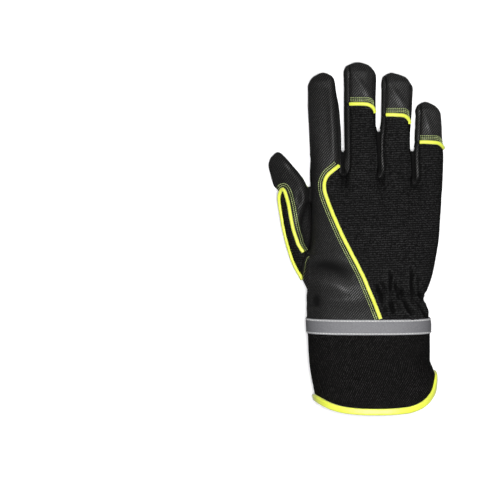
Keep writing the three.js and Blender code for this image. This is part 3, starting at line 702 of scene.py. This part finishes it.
# Painted shade for each place on the back, from how closed in it is by the cloth round it: rays spread over
# the half sphere, of which near hits count most.
# Painted shade is added along the seams, in the bottoms of folds, beside the rows of stitches along the
# back's piping and in the recess beside the thumb.
# The banks of folds and the middles of the caps get painted highlights instead.
shelter = {"rays": 20, "reach": 15.0, "start": 0.25, "gain": 1.15, "lowestUp": -0.2, "seam": (0.32, 1.5),
           "rows": (3.6, 1.5, 0.25), "paintedCapHighlight": 0.3, "recess": (0.6, 0.8), "relax": 0.4}
thumbRecess = np.array([[-34.4, 24], [-36.4, 22], [-39.9, 16.5], [-41.5, 11.7], [-41.1, 6.9], [-39.3, 0.8],
                        [-37.5, -8.5], [-34.4, -9]])
indexCorners = [[20, -95], [-95, -95], [-95, 150], [-7.5, 150]]
turn = math.pi * (3 - math.sqrt(5)) * np.arange(shelter["rays"])
spread = np.sqrt((np.arange(shelter["rays"]) + 0.5) / shelter["rays"])
skinSurface = surfaceOf(skin, skinTriangles)
lit = np.flatnonzero(skinNormals[:, 2] > shelter["lowestUp"])
upward = skinNormals[lit]
sideward = unit(np.cross(upward, [0.0, 1.0, 0.1]))
forward = np.cross(upward, sideward)
starts = (skin[lit] + upward * shelter["start"]).tolist()
hits = np.zeros(len(lit))
for k in range(shelter["rays"]):
    ways = sideward * spread[k] * math.cos(turn[k]) + forward * spread[k] * math.sin(turn[k])
    ways = (ways + upward * math.sqrt(1 - spread[k] ** 2)).tolist()
    found = [skinSurface.ray_cast(start, way, shelter["reach"])[3] for start, way in zip(starts, ways)]
    hits += [0.0 if distance is None else 1 - distance / shelter["reach"] for distance in found]
# Painted shade from the rays, and painted shadow in the bottoms of folds.
paintedShadeAndLight = np.zeros(len(skin))
paintedShadeAndLight[lit] = hits / shelter["rays"] * shelter["gain"]
paintedShadeAndLight = np.maximum(paintedShadeAndLight, shadow)
# Painted shade along the seams.
share, width = shelter["seam"]
for _, distance, onSide in seamDistances(skin, overSeam):
    paintedShadeAndLight = np.maximum(paintedShadeAndLight, onSide * share * bell(distance, width))
# Painted shade beside the rows of stitches along the back's piping.
middle, width, share = shelter["rows"]
stitched = isBack & insideOf(np.vstack([lines["back"], indexCorners]), skin)
distance = nearestOn(lines["back"], skin)[0] - middle
paintedShadeAndLight = np.maximum(paintedShadeAndLight, stitched * share * bell(distance, width, 4))
# Painted highlight over the middle of each cap.
for name in capSeams:
    line = lines[name + "_cap"]
    inCap = isBack & insideOf(np.vstack([line, [[line[-1][0], 150], [line[0][0], 150]]]), skin)
    paintedHighlight = np.maximum(paintedHighlight, inCap * shelter["paintedCapHighlight"])
# Painted shade in the recess beside the thumb.
share, width = shelter["recess"]
depthIn = nearestOn(closedLoop(thumbRecess), skin)[0] / width
paintedShadeAndLight = np.maximum(paintedShadeAndLight, (isBack & insideOf(thumbRecess, skin)) * share * np.clip(depthIn, 0, 1))
# Painted highlights go in as negative values, then the painted shade and highlight are smoothed.
paintedShadeAndLight = relaxed((paintedShadeAndLight - paintedHighlight * (1 - paintedShadeAndLight))[:, None], shelter["relax"])[:, 0].clip(-1, 1)
print("shelter found")

# Where the cloth's own pattern runs: u across, from the middle of the finger or hand, and y along. On a
# rounded side it goes on with the height, or the pattern would be stretched there.
patternShape = {"starts": {"palm": -100, "thumb": -45, "index": 43, "middle": 43, "ring": 43, "little": 38},
                "past": 1.5, "drop": 0.8, "deepest": 40, "thumbRight": -35.2, "thumbTop": 70}
patternU = np.array(skin[:, 0])
for form, starts in patternShape["starts"].items():
    rows = rowsAt(form, skin[:, 1])
    half, centre = (rows[:, 2] - rows[:, 1]) / 2, (rows[:, 2] + rows[:, 1]) / 2
    mine = (skin[:, 1] > starts) & (np.abs(skin[:, 0] - centre) < half + patternShape["past"])
    if form == "thumb":
        mine &= (skin[:, 0] < patternShape["thumbRight"]) & (skin[:, 1] < patternShape["thumbTop"])
    drop = np.where(isBack, rows[:, 4] - skin[:, 2], skin[:, 2] - rows[:, 3])
    drop = np.clip(drop, 0, patternShape["deepest"]) * patternShape["drop"]
    patternU = np.where(mine, skin[:, 0] + np.clip((skin[:, 0] - centre) / half, -1, 1) * drop, patternU)

# One row per vertex of the cloth: outer place, inner place, pattern, painted shade and highlight.
cloth = np.hstack([skin, skinInner, patternU[:, None], skin[:, 1:2], paintedShadeAndLight[:, None]])


def cutCloth(cloth, triangles, values, wanted=True):
    corner = values[triangles]
    mixed = wanted & (corner.min(axis=1) < 0) & (corner.max(axis=1) > 0)
    part = triangles[mixed]
    pairs = np.sort(edgesOf(part), axis=1)
    pairs = np.unique(pairs[values[pairs[:, 0]] * values[pairs[:, 1]] < 0], axis=0)
    t = values[pairs[:, 0]] / (values[pairs[:, 0]] - values[pairs[:, 1]])
    fresh = cloth[pairs[:, 0]] * (1 - t)[:, None] + cloth[pairs[:, 1]] * t[:, None]
    made = {tuple(pair): len(cloth) + i for i, pair in enumerate(pairs)}
    pieces = []
    for triangle in part:
        ring = []
        for a, b in zip(triangle.tolist(), np.roll(triangle, -1).tolist()):
            ring.append((a, values[a]))
            if (min(a, b), max(a, b)) in made:
                ring.append((made[(min(a, b), max(a, b))], 0.0))
        for side in (1, -1):
            polygon = [v for v, value in ring if value * side >= 0]
            pieces += [(polygon[0], polygon[k], polygon[k + 1]) for k in range(1, len(polygon) - 1)]
    pieces = np.array(pieces, dtype=np.int64).reshape(-1, 3)
    return np.vstack([cloth, fresh]), np.vstack([triangles[~mixed], pieces])


def centresOf(cloth, triangles):
    return cloth[triangles, :3].mean(axis=1)


snapWithin = 0.22


# Cuts along an outline seen from above, on the back or on the palm. Vertices that are almost on the line move
# onto it.
def cutOutline(cloth, triangles, outline, onBack):
    distance, nearest, _ = nearestOn(closedLoop(outline), cloth)
    close = (distance < snapWithin) & ((overSide(cloth) > 0) == onBack)
    cloth[close, :2] = nearest[close]
    values = np.where(insideOf(outline, cloth), -distance, distance)
    values[close] = 0
    return cutCloth(cloth, triangles, values, (overSide(centresOf(cloth, triangles)) > 0) == onBack)


# Outlines of the panels: each is a seam, closed by corners that lie beyond the glove.
closings = {
    "thumb_side": ("thumbRoot", [[-95, -48], [-95, 72], [-38.5, 72], [-36.2, 60]]),
    "inset_side": ("inset", [[-30, -11], [-30, -60], [-95, -60], [-95, 36.6]]),
    "index_side": ("back", [*indexCorners, [-7.5, 58]]),
    "seat_side": ("thumbSeat", [[-95, -36], [-95, 72], [-38.5, 72]]),
}
outlines = {name + "_gusset": lines[name] for name in gussets}
outlines |= {name: np.vstack([lines[seam], corners]) for name, (seam, corners) in closings.items()}
for name in capSeams:
    line = lines[name + "_cap"]
    corners = [[line[-1][0] + 3, line[-1][1]], [line[-1][0] + 3, 150], [line[0][0], 150]]
    outlines[name + "_cap"] = np.vstack([line, corners])

pastWrist = cloth[:, 1] - handShape["wristSeam"] - handShape["seamGap"]
cloth, triangles = cutCloth(cloth, skinTriangles, pastWrist)
cloth, triangles = cutCloth(cloth, triangles, overSide(cloth))
triangles = triangles[centresOf(cloth, triangles)[:, 1] > handShape["wristSeam"] + handShape["seamGap"]]
for name, outline in outlines.items():
    cloth, triangles = cutOutline(cloth, triangles, outline, name != "seat_side")

centres = centresOf(cloth, triangles)
onBack = overSide(centres) > 0
within = {name: insideOf(outline, centres) for name, outline in outlines.items()}
panelOf = np.where(onBack, "back_panel", "palm_panel").astype("<U24")
panelOf[onBack & within["index_side"]] = "index_back_panel"
panelOf[onBack & within["thumb_side"]] = "thumb_back_panel"
panelOf[onBack & within["thumb_side"] & within["inset_side"]] = "thumb_inset"
for name in [*(cap + "_cap" for cap in capSeams), *(gusset + "_gusset" for gusset in gussets)]:
    panelOf[onBack & within[name]] = name
panelOf[~onBack & within["seat_side"]] = "thumb_palm_panel"
print("panels cut")

# The last column says how near each place is to a seam: 1 on it, and 0 from seamReach on.
seamReach, seamSlack = 3.0, 0.05
over = overSide(cloth)
seamGap = np.abs(over)
for _, distance, onSide in seamDistances(cloth, over, seamSlack):
    seamGap = np.where(onSide, np.minimum(seamGap, distance), seamGap)
cloth = np.hstack([cloth, np.clip(1 - seamGap / seamReach, 0, 1)[:, None]])


# A finished piece: millimetres become metres, and the piece is hung from the root body.
def addPiece(name, mesh, finish, replaces=None):
    mesh.vertices.foreach_set("co", valuesOf(mesh.vertices, "co").ravel() * 0.001)
    mesh.update()
    mesh.materials.clear()
    mesh.materials.append(finishes[finish])
    mesh.shade_smooth()
    piece = addObject(name, mesh)
    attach(piece, "root")
    if replaces:
        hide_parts(replaces)


def setPattern(mesh, pattern):
    layer = mesh.uv_layers.new(name="UVMap")
    corners = np.empty(len(mesh.loops), dtype=np.int64)
    mesh.loops.foreach_get("vertex_index", corners)
    layer.data.foreach_set("uv", np.asarray(pattern, dtype=float)[corners].ravel())


# A panel with its thickness: outer skin, inner skin and the rim that joins them. Each row of the cloth holds
# its pattern and its marks too.
def wallMesh(name, outer, inner, triangles, cloth):
    pattern, marks = cloth[:, 6:8], cloth[:, 8:10]
    used, local = np.unique(triangles, return_inverse=True)
    local = local.reshape(-1, 3)
    count = len(used)
    halfEdges = edgesOf(local)
    key = halfEdges.min(axis=1) * count + halfEdges.max(axis=1)
    _, first, repeats = np.unique(key, return_index=True, return_counts=True)
    faces = [*map(tuple, local), *map(tuple, local[:, ::-1] + count)]
    faces += [(b, a, a + count, b + count) for a, b in halfEdges[first[repeats == 1]]]
    mesh = meshOf(name, np.vstack([outer[used], inner[used]]), faces)
    setPattern(mesh, np.vstack([pattern[used], pattern[used]]))
    for mark, values in zip(clothMarks, marks[used].T):
        attribute = mesh.attributes.new(mark, "FLOAT", "POINT")
        attribute.data.foreach_set("value", np.concatenate([values, values]))
    return mesh


knitPanels = ("back_panel", "thumb_inset")
for name in sorted(set(panelOf)):
    mesh = wallMesh(name, cloth[:, :3], cloth[:, 3:6], triangles[panelOf == name], cloth)
    addPiece(name + "_cloth", mesh, "knit" if name in knitPanels else "leather", name)
print("panels made")

# Patches: a second layer under the palm, its edge turned in.
patchShape = {"thick": 1.0, "edge": 0.45, "gap": 0.15, "reach": 7.0, "rounded": 1.1, "lowest": 0.2,
              "innerLowest": 0.4}
patchSkins = {}
for name, points in patches.items():
    outline = curveThrough(points, closed=True)
    patchCloth, patchTriangles = cutOutline(cloth.copy(), triangles[~onBack], outline, False)
    patchCloth, patchTriangles = cutCloth(patchCloth, patchTriangles, patchCloth[:, 2] - patchShape["reach"])
    middle = centresOf(patchCloth, patchTriangles)
    patchTriangles = patchTriangles[insideOf(outline, middle) & (middle[:, 2] < patchShape["reach"])]
    outward = normalsOf(patchCloth[:, :3], patchTriangles)
    inset = np.minimum(nearestOn(closedLoop(outline), patchCloth)[0], patchShape["reach"] - patchCloth[:, 2])
    inset = np.clip(inset / patchShape["rounded"], 0, 1)
    rounding = patchShape["edge"] + (1 - patchShape["edge"]) * np.sqrt(1 - (1 - inset) ** 2)
    inner = patchCloth[:, :3] + outward * patchShape["gap"]
    outer = liftedTo(inner + outward * (patchShape["thick"] * rounding)[:, None], patchShape["lowest"])
    inner = liftedTo(inner, patchShape["innerLowest"])
    patchCloth[:, 9] = 0
    mesh = wallMesh(name, outer, inner, patchTriangles, patchCloth)
    patchSkins[name] = surfaceOf(outer, patchTriangles)
    addPiece(name + "_cloth", mesh, "leather", name)
print("patches made")

handSkin = surfaceOf(cloth[:, :3], triangles)
layFrom = {"above": 90, "below": -40, "outside": 1.6}


# The places that were hit on a surface, with the direction that is out there.
def placesOf(hits):
    kept = [hit for hit in hits if hit[0] is not None]
    return tuple(np.array([hit[k] for hit in kept]) for k in range(2))


def layOn(line, surface=handSkin, fromAbove=True):
    start, way = (layFrom["above"], -1) if fromAbove else (layFrom["below"], 1)
    return placesOf([surface.ray_cast(Vector((x, y, start)), Vector((0, 0, way))) for x, y in line])


# Points round a form, from outside towards its middle.
def layRound(form, ys, degrees):
    hits = []
    for row, angle in zip(rowsAt(form, ys), degrees):
        outside = onSections(row[None, :], np.array([angle]), layFrom["outside"])[0, 0]
        middle = np.array([(row[1] + row[2]) / 2, row[0], (row[3] + row[4]) / 2])
        hits.append(handSkin.ray_cast(Vector(outside), Vector(middle - outside).normalized()))
    return placesOf(hits)


def layNear(line):
    return placesOf([handSkin.find_nearest(Vector(p)) for p in curveThrough(line)])


def sideways(line, distance):
    along = unit(np.gradient(line, axis=0))
    return line + np.stack([-along[:, 1], along[:, 0]], axis=1) * distance


def evened(path, passes=6):
    path = np.array(path)
    for _ in range(passes):
        path[1:-1] += (path[:-2] + path[2:] - 2 * path[1:-1]) * 0.25
    return path


# Geometry Nodes: what follows a path. Paths are edges with an "up" attribute.
def startPath(name, inputs, step):
    tree, given, result = nodeGroup("GeometryNodeTree", name, {"Geometry": "Geometry", **inputs},
                                    {"Geometry": "Geometry"})
    curve = addNode(tree, "GeometryNodeMeshToCurve", {"Mesh": given["Geometry"]})[0]
    spacing = {"Curve": curve, "Length": given[step]}
    return tree, given, result, addNode(tree, "GeometryNodeResampleCurve", spacing, mode="LENGTH")[0]


def finishPath(tree, made, result, material):
    made = addNode(tree, "GeometryNodeRealizeInstances", {"Geometry": made})[0]
    made = addNode(tree, "GeometryNodeSetMaterial", {"Geometry": made, "Material": material})[0]
    feed(result["Geometry"], made)


stitchTree, given, result, curve = startPath("stitchRow", {
    "Pitch": 1.5, "Length": 1.35, "Thread radius": 0.3, "Lift": 0.05, "Unevenness": 0.06, "Seed": 3,
    "Thread": "Material"}, "Pitch")
up = addNode(stitchTree, "GeometryNodeInputNamedAttribute", {"Name": "up"}, data_type="FLOAT_VECTOR")[0]
tangent = addNode(stitchTree, "GeometryNodeInputTangent")[0]
turn = addNode(stitchTree, "FunctionNodeAlignRotationToVector", {"Vector": tangent}, axis="X")[0]
turn = addNode(stitchTree, "FunctionNodeAlignRotationToVector", {"Rotation": turn, "Vector": up}, axis="Z",
               pivot_axis="X")[0]
vary = addNode(stitchTree, "FunctionNodeRandomValue", {
    2: minus(1.0, given["Unevenness"]), 3: calculate("ADD", 1.0, given["Unevenness"]), "Seed": given["Seed"]},
    data_type="FLOAT")[1]
half, radius = times(times(given["Length"], 0.5), vary), given["Thread radius"]
size = addNode(stitchTree, "ShaderNodeCombineXYZ", {"X": half, "Y": radius, "Z": radius})[0]
stitch = addNode(stitchTree, "GeometryNodeMeshUVSphere", {"Segments": 8, "Rings": 6, "Radius": 1.0})[0]
stitch = addNode(stitchTree, "GeometryNodeTransform", {
    "Geometry": stitch, "Rotation": (0.0, math.pi / 2, 0.0)})[0]
stitches = addNode(stitchTree, "GeometryNodeInstanceOnPoints", {
    "Points": curve, "Instance": stitch, "Rotation": turn, "Scale": size})[0]
lifted = addNode(stitchTree, "ShaderNodeCombineXYZ", {"Z": given["Lift"]})[0]
stitches = addNode(stitchTree, "GeometryNodeTranslateInstances", {
    "Instances": stitches, "Translation": lifted})[0]
finishPath(stitchTree, stitches, result, given["Thread"])

cordTree, given, result, curve = startPath("roundCord", {
    "Step": 1.2, "Radius": 1.45, "Sides": 16, "Cover": "Material"}, "Step")
section = addNode(cordTree, "GeometryNodeCurvePrimitiveCircle", {
    "Resolution": given["Sides"], "Radius": given["Radius"]})[0]
tube = addNode(cordTree, "GeometryNodeCurveToMesh", {
    "Curve": curve, "Profile Curve": section, "Fill Caps": True})[0]
finishPath(cordTree, tube, result, given["Cover"])


# Runs a tree over some paths and returns the plain mesh that it makes.
def alongPaths(name, paths, tree, values):
    points, ups, edges = [], [], []
    for places, up in paths:
        edges += [(len(points) + i, len(points) + i + 1) for i in range(len(places) - 1)]
        points += [tuple(map(float, p)) for p in places]
        ups += [tuple(map(float, u)) for u in up]
    mesh = bpy.data.meshes.new(name + "Paths")
    mesh.from_pydata(points, edges, [])
    mesh.attributes.new("up", "FLOAT_VECTOR", "POINT").data.foreach_set("vector", np.array(ups).ravel())
    carrier = addObject(name + "Paths", mesh)
    modifier = carrier.modifiers.new("nodes", "NODES")
    modifier.node_group = tree
    for item in tree.interface.items_tree:
        if item.in_out == "INPUT" and item.name in values:
            modifier[item.identifier] = values[item.name]
    return plainMesh(carrier)


def addCord(name, laid, radius=1.45, passes=6):
    places, ups = laid
    path = (evened(places + ups * pipingShape["proud"], passes), ups)
    mesh = alongPaths(name, [path], cordTree, {"Radius": radius, "Cover": finishes["yellowTrim"]})
    addPiece(name + "_cord", mesh, "yellowTrim", name)


def addStitches(name, paths, values=None, finish="yellowThread"):
    paths = [path for path in paths if len(path[0]) > 2]
    mesh = alongPaths(name, paths, stitchTree, {"Thread": finishes[finish], **(values or {})})
    addPiece(name + "_stitches", mesh, finish)


# Pipings, and the rows of stitches beside each: two along the back and the thumb, three over each cap.
pipingShape = {"proud": 0.7, "rows": (2.7, 4.1), "capRows": (2.5, 3.7, 4.9), "thumbRows": (2.6, 4.1),
               "thumbRadius": 1.35, "thumbPasses": 8, "besidePasses": 10, "besideStarts": 7,
               "capSteps": 24, "capFalls": 4, "bandTop": -60.6}
backLine = lines["back"][lines["back"][:, 1] > pipingShape["bandTop"]][2:]
addCord("back_piping", layOn(backLine))
stitchPaths = [layOn(sideways(backLine, -distance)) for distance in pipingShape["rows"]]
for name, cap in capSeams.items():
    angles = np.linspace(*cap["angles"], pipingShape["capSteps"])
    fall = np.clip(np.cos(np.radians(angles)), 0, 1) ** pipingShape["capFalls"]
    lowered = cap["y"] - cap["drop"] * fall
    addCord(name + "_cap_piping", layRound(name, lowered, angles))
    stitchPaths += [layRound(name, lowered + distance, angles) for distance in pipingShape["capRows"]]

# Thumb piping: up the thumb's side, over the end of the knit and back down the seam. Each x, y, z lies
# just off the thumb, and the cord takes the nearest place on it.
thumbCord = [[-41.8, -32, 12], [-44.6, -28, 12], [-48, -20, 13], [-52.6, -8, 14], [-56, 4, 14],
             [-58.6, 16, 14], [-59.6, 26, 14.5], [-59.8, 31, 15.5], [-59.2, 34.4, 18], [-57.6, 36.4, 20.5],
             [-55.8, 35.4, 21.6], [-54.4, 31.6, 22.6], [-52.4, 26, 23.4], [-49.6, 14, 24], [-47, 4, 24],
             [-43.5, -4, 23.6], [-38.8, -9.8, 24]]
laid = layNear(thumbCord)
addCord("thumb_piping", laid, pipingShape["thumbRadius"], pipingShape["thumbPasses"])
beside = evened(laid[0][:, :2], pipingShape["besidePasses"])
beside = beside[np.argmax(laid[0][:, 1]) - pipingShape["besideStarts"] :]
stitchPaths += [layOn(sideways(beside, distance)) for distance in pipingShape["thumbRows"]]
# Short rows at the root of the thumb: down its seam with the hand, and in the fork beside the index finger.
thumbRootRows = [[[-36.8, -12.8, 26], [-39.8, -18.8, 22], [-41, -26, 18], [-40.4, -31, 17], [-37.6, -37, 18]],
                 [[-39.4, 45, 12], [-37, 41, 10], [-35.6, 37, 10]]]
addStitches("back_seams", [*stitchPaths, *map(layNear, thumbRootRows)])
print("pipings made")

# Palm stitches: two rows inside the edge of each patch, and double rows down the heel, along the thumb's
# seat and inside it.
palmStitches = {"patchRows": (1.3, 2.9), "seatRows": (-2.0, 1.8), "doubleRows": (-0.8, 0.8),
                "seatUnder": 22, "seatRightOf": -40, "lowest": 0.26,
                "thread": {"Pitch": 2.3, "Length": 1.8, "Thread radius": 0.26, "Lift": 0.0},
                "heel": [[0.7, 12.2], [4, -6], [5.6, -25], [8.4, -53]],
                "thumbBase": [[-14.5, -14], [-10.6, -22], [-8.4, -31]]}


def palmRowsAlong(line, distances, surface):
    return [layOn(sideways(line, distance), surface, False) for distance in distances]


palmRows = []
for name, points in patches.items():
    edge = closedLoop(curveThrough(points, closed=True))
    palmRows += palmRowsAlong(edge, [-distance for distance in palmStitches["patchRows"]], patchSkins[name])
seatLine = lines["thumbSeat"]
shown = (seatLine[:, 1] < palmStitches["seatUnder"]) & (seatLine[:, 0] > palmStitches["seatRightOf"])
heelLine, baseLine = (curveThrough(palmStitches[name]) for name in ("heel", "thumbBase"))
palmRows += palmRowsAlong(heelLine, palmStitches["doubleRows"], patchSkins["heel_patch"])
palmRows += palmRowsAlong(seatLine[shown], palmStitches["seatRows"], handSkin)
palmRows += palmRowsAlong(baseLine, palmStitches["doubleRows"], handSkin)
palmRows = [(liftedTo(row[0], palmStitches["lowest"]), row[1]) for row in palmRows if len(row[0])]
addStitches("palm_seams", palmRows, palmStitches["thread"])
print("stitches made")

# Cuff: a gauntlet that flares to its hem. The hem is a table of angle round the cuff and y.
cuffShape = {"sides": 240, "rows": 60, "top": -0.3, "short": 1.0, "hemWall": 1.5, "thins": (22, 0.7),
             "hemPasses": 4, "lowest": 0.6}
cuffWaves = {"seed": 11, "waves": 16, "size": (25, 60), "depth": 0.35}
hem = [[-80, -132.6], [-66, -131], [-47, -123], [-36, -113.5], [-27, -106.5], [-14, -104.2], [0, -105.6],
       [7, -110.5], [14, -115.6], [22, -120.3], [32, -124.6], [44, -128], [60, -130.6], [90, -132],
       [118, -130.6], [135, -128.3], [150, -125.4], [165, -122.6], [180, -121.4], [197, -122.6],
       [213, -126.5], [250, -131.2], [280, -132.6]]
sides = cuffShape["sides"]
cuffAngles = (np.arange(sides) + 0.5) * 360 / sides
hemRound = [[a - 360, y] for a, y in hem[-4:-1]] + hem + [[a + 360, y] for a, y in hem[1:4]]
pastEnd = cuffAngles > hem[-1][0]
hemY = between(*np.array(hemRound).T, np.where(pastEnd, cuffAngles - 360, cuffAngles))
for _ in range(cuffShape["hemPasses"]):
    hemY = (np.roll(hemY, 1) + hemY * 2 + np.roll(hemY, -1)) / 4


def sleeveRing(ys, grow=0.0):
    return onSections(rowsAt("sleeve", ys + 0 * cuffAngles), cuffAngles[:, None], grow)[:, 0]


def sleeveGrid(first, last, grow=0.0):
    shares = np.linspace(0, 1, cuffShape["rows"])
    return np.array([sleeveRing(first + (last - first) * share, grow) for share in shares])


def roundabout(ring):
    return running(np.linalg.norm(np.diff(ring, axis=0), axis=1))


cuffEnds = (handShape["wristSeam"] + cuffShape["top"], hemY + cuffShape["short"])
walls = (0.0, -handShape["cuffWall"], -cuffShape["hemWall"])
cuffOuter, cuffInner, hemInner = (sleeveGrid(*cuffEnds, grow) for grow in walls)
uneven = np.zeros(cuffOuter.shape[:2])
addWaves(uneven, cuffOuter, cuffWaves)
outward = cuffOuter - cuffOuter.mean(axis=1, keepdims=True)
outward[:, :, 1] = 0
cuffOuter = liftedTo(cuffOuter + unit(outward) * uneven[:, :, None], cuffShape["lowest"])
reach, power = cuffShape["thins"]
thinned = np.clip(1 - (cuffOuter[:, :, 1] - hemY) / reach, 0, 1)[:, :, None] ** power
cuffInner = cuffInner * (1 - thinned) + hemInner * thinned
count = cuffShape["rows"] * sides
grid = gridFaces(cuffShape["rows"], sides)
faces = [face[::-1] for face in grid] + [tuple(i + count for i in face) for face in grid]
for ring, turn in ((0, 1), (cuffShape["rows"] - 1, -1)):
    for i in range(sides):
        a, b = ring * sides + i, ring * sides + (i + 1) % sides
        faces.append((a, b, b + count, a + count)[::turn])
mesh = meshOf("cuff", np.vstack([cuffOuter.reshape(-1, 3), cuffInner.reshape(-1, 3)]), faces)
pattern = np.stack([np.tile(roundabout(cuffOuter[0]), cuffShape["rows"]), cuffOuter[:, :, 1].ravel()], axis=1)
setPattern(mesh, np.vstack([pattern, pattern]))
addPiece("cuff_cloth", mesh, "neoprene", "cuff")

# Binding: tape folded round the hem, swept along it. Its profile is how far in from the hem, and how far out.
bindingShape = {"width": 4.8, "out": 0.6, "round": 1.3, "across": (4.0, 3.2, 2.5, 1.8), "lowest": 0.2,
                "sleeve": (-62.0, -135.8)}
sleeve = surfaceOf(sleeveGrid(*bindingShape["sleeve"]).reshape(-1, 3), [face[::-1] for face in grid])
hemLine = sleeveRing(hemY)
tangents = unit(np.roll(hemLine, -1, axis=0) - np.roll(hemLine, 1, axis=0))
wide, proud, wall = bindingShape["width"], bindingShape["out"], cuffShape["hemWall"]
profile = [(wide, 0.05), (wide + 0.1, proud * 0.55), (wide - 0.2, proud * 0.92)]
profile += [(d, proud + 0.15 * math.sin(math.pi * (wide - d) / (wide - 1.2))) for d in bindingShape["across"]]
profile += [(bindingShape["round"] * (1 - math.cos(a)), (wall / 2 + proud) * math.sin(a) - wall / 2)
            for a in np.linspace(math.pi / 2, -math.pi / 2, 13)]
profile += [(d, -wall - proud) for d in bindingShape["across"][::-1]]
profile += [(wide - 0.2, -wall - proud * 0.92), (wide + 0.1, -wall - proud * 0.3)]
bindingPoints = []
for place, tangent in zip(hemLine, tangents):
    inward = np.cross(np.array(sleeve.find_nearest(Vector(place))[1]), tangent)
    inward *= (1 if inward[1] > 0 else -1) / np.linalg.norm(inward)
    for d, out in profile:
        near, normal, _, _ = sleeve.find_nearest(Vector(place + inward * d))
        bindingPoints.append(np.array(near) + np.array(normal) * out)
bindingPoints = liftedTo(np.array(bindingPoints), bindingShape["lowest"])
mesh = meshOf("binding", bindingPoints, gridFaces(sides, len(profile), True))
run = np.repeat(roundabout(hemLine), len(profile))
setPattern(mesh, np.stack([run, np.tile(np.arange(len(profile)), sides)], axis=1))
addPiece("hem_binding_tape", mesh, "yellowTrim", "hem_binding")
print("cuff made")

# Reflective band: a closed ring of tape round the wrist, which droops a little on the back.
bandShape = {"top": -58.3, "end": -69.6, "droop": 2.8, "droopOver": (6, 40), "gap": 0.25, "thick": 0.8,
             "rows": 14, "edge": 0.55, "edgeOver": 0.8, "groove": 0.12, "grooveAt": (1.7, 2.1),
             "stitchInset": (0.95, 10.4), "outside": 3.0, "thread": {"Pitch": 2.3, "Length": 1.7}}
start, reach = bandShape["droopOver"]
bandDroop = bandShape["droop"] * np.clip((sleeveRing(bandShape["top"])[:, 2] - start) / reach, 0, 1)


def bandRing(inset, grow):
    return sleeveRing(bandShape["top"] - inset - bandDroop, grow)


bandTs = np.linspace(0, 1, bandShape["rows"])
bandWidth = bandShape["top"] - bandShape["end"]
rings = []
for t in bandTs:
    edge = min(t, 1 - t) * bandWidth
    share = bandShape["edge"] + (1 - bandShape["edge"]) * min(1, edge / bandShape["edgeOver"])
    inGroove = bandShape["grooveAt"][0] < edge < bandShape["grooveAt"][1]
    grow = bandShape["gap"] + bandShape["thick"] * share - (bandShape["groove"] if inGroove else 0)
    rings.append(bandRing(bandWidth * t, grow))
rings = np.array(rings + [bandRing(bandWidth * t, bandShape["gap"]) for t in bandTs[::-1]])
faces = [(a, d, c, b) for a, b, c, d in gridFaces(len(rings), sides, True)]
mesh = meshOf("band", rings.reshape(-1, 3), faces)
across = np.concatenate([bandTs, bandTs[::-1]]) * tapeFinish["width"]
setPattern(mesh, np.stack([np.tile(roundabout(rings[0]), len(rings)), np.repeat(across, sides)], axis=1))
addPiece("reflective_band_tape", mesh, "reflectiveTape", "reflective_band")
bandRows = []
for inset in bandShape["stitchInset"]:
    ring = bandRing(inset, bandShape["gap"] + bandShape["thick"])
    outward = unit(bandRing(inset, bandShape["outside"]) - ring)
    bandRows.append((closedLoop(ring), closedLoop(outward)))
addStitches("band", bandRows, bandShape["thread"], "greyThread")
print("band made")

# Studio: a pale floor, a large soft light over the glove and weaker ones round it. The floor is pale only
# to the camera, so that it throws little light on the black cloth.
studio = {
    "floor": 4.0, "floorColour": (0.93, 0.93, 0.935), "floorMirrored": (0.12, 0.12, 0.12),
    "floorGlow": (0.2, 0.2, 0.2), "floorRough": 0.9, "world": 0.1,
    "lights": {  # place, size, power
        "over": ((0.02, -0.05, 1.4), 0.42, 25), "side": ((0.8, 0.5, 0.9), 0.9, 1.5),
        "front": ((0.0, -1.0, 1.0), 0.9, 3), "tips": ((0.1, 1.0, 1.1), 0.6, 3.5)},
}
tree, shader, coords = startFinish("paleFloor")
toCamera = addNode(tree, "ShaderNodeLightPath")["Is Camera Ray"]
feedAll(shader, {
    "Base Color": mixColour(toCamera, studio["floorMirrored"], studio["floorColour"]),
    "Emission Color": mixColour(toCamera, (0.0, 0.0, 0.0), studio["floorGlow"]),
    "Emission Strength": 1.0, "Roughness": studio["floorRough"]})
reach = studio["floor"] / 2
corners = [(x * reach, y * reach, 0) for x, y in ((-1, -1), (1, -1), (1, 1), (-1, 1))]
mesh = meshOf("floor", corners, [(0, 1, 2, 3)])
mesh.materials.append(finishes["paleFloor"])
addObject("floor", mesh)
scene.world = bpy.data.worlds.new("studio")
scene.world.use_nodes = True
background = scene.world.node_tree.nodes["Background"].inputs
feedAll(background, {"Color": (1, 1, 1), "Strength": studio["world"]})
for name, (place, size, power) in studio["lights"].items():
    light = bpy.data.lights.new(name, "AREA")
    light.shape = "DISK"
    light.size = size
    light.energy = power
    lamp = addObject(name, light)
    lamp.location = place
    lamp.rotation_euler = (-Vector(place)).to_track_quat("-Z", "Y").to_euler()
scene.view_settings.view_transform = "Standard"

print("scene ready")
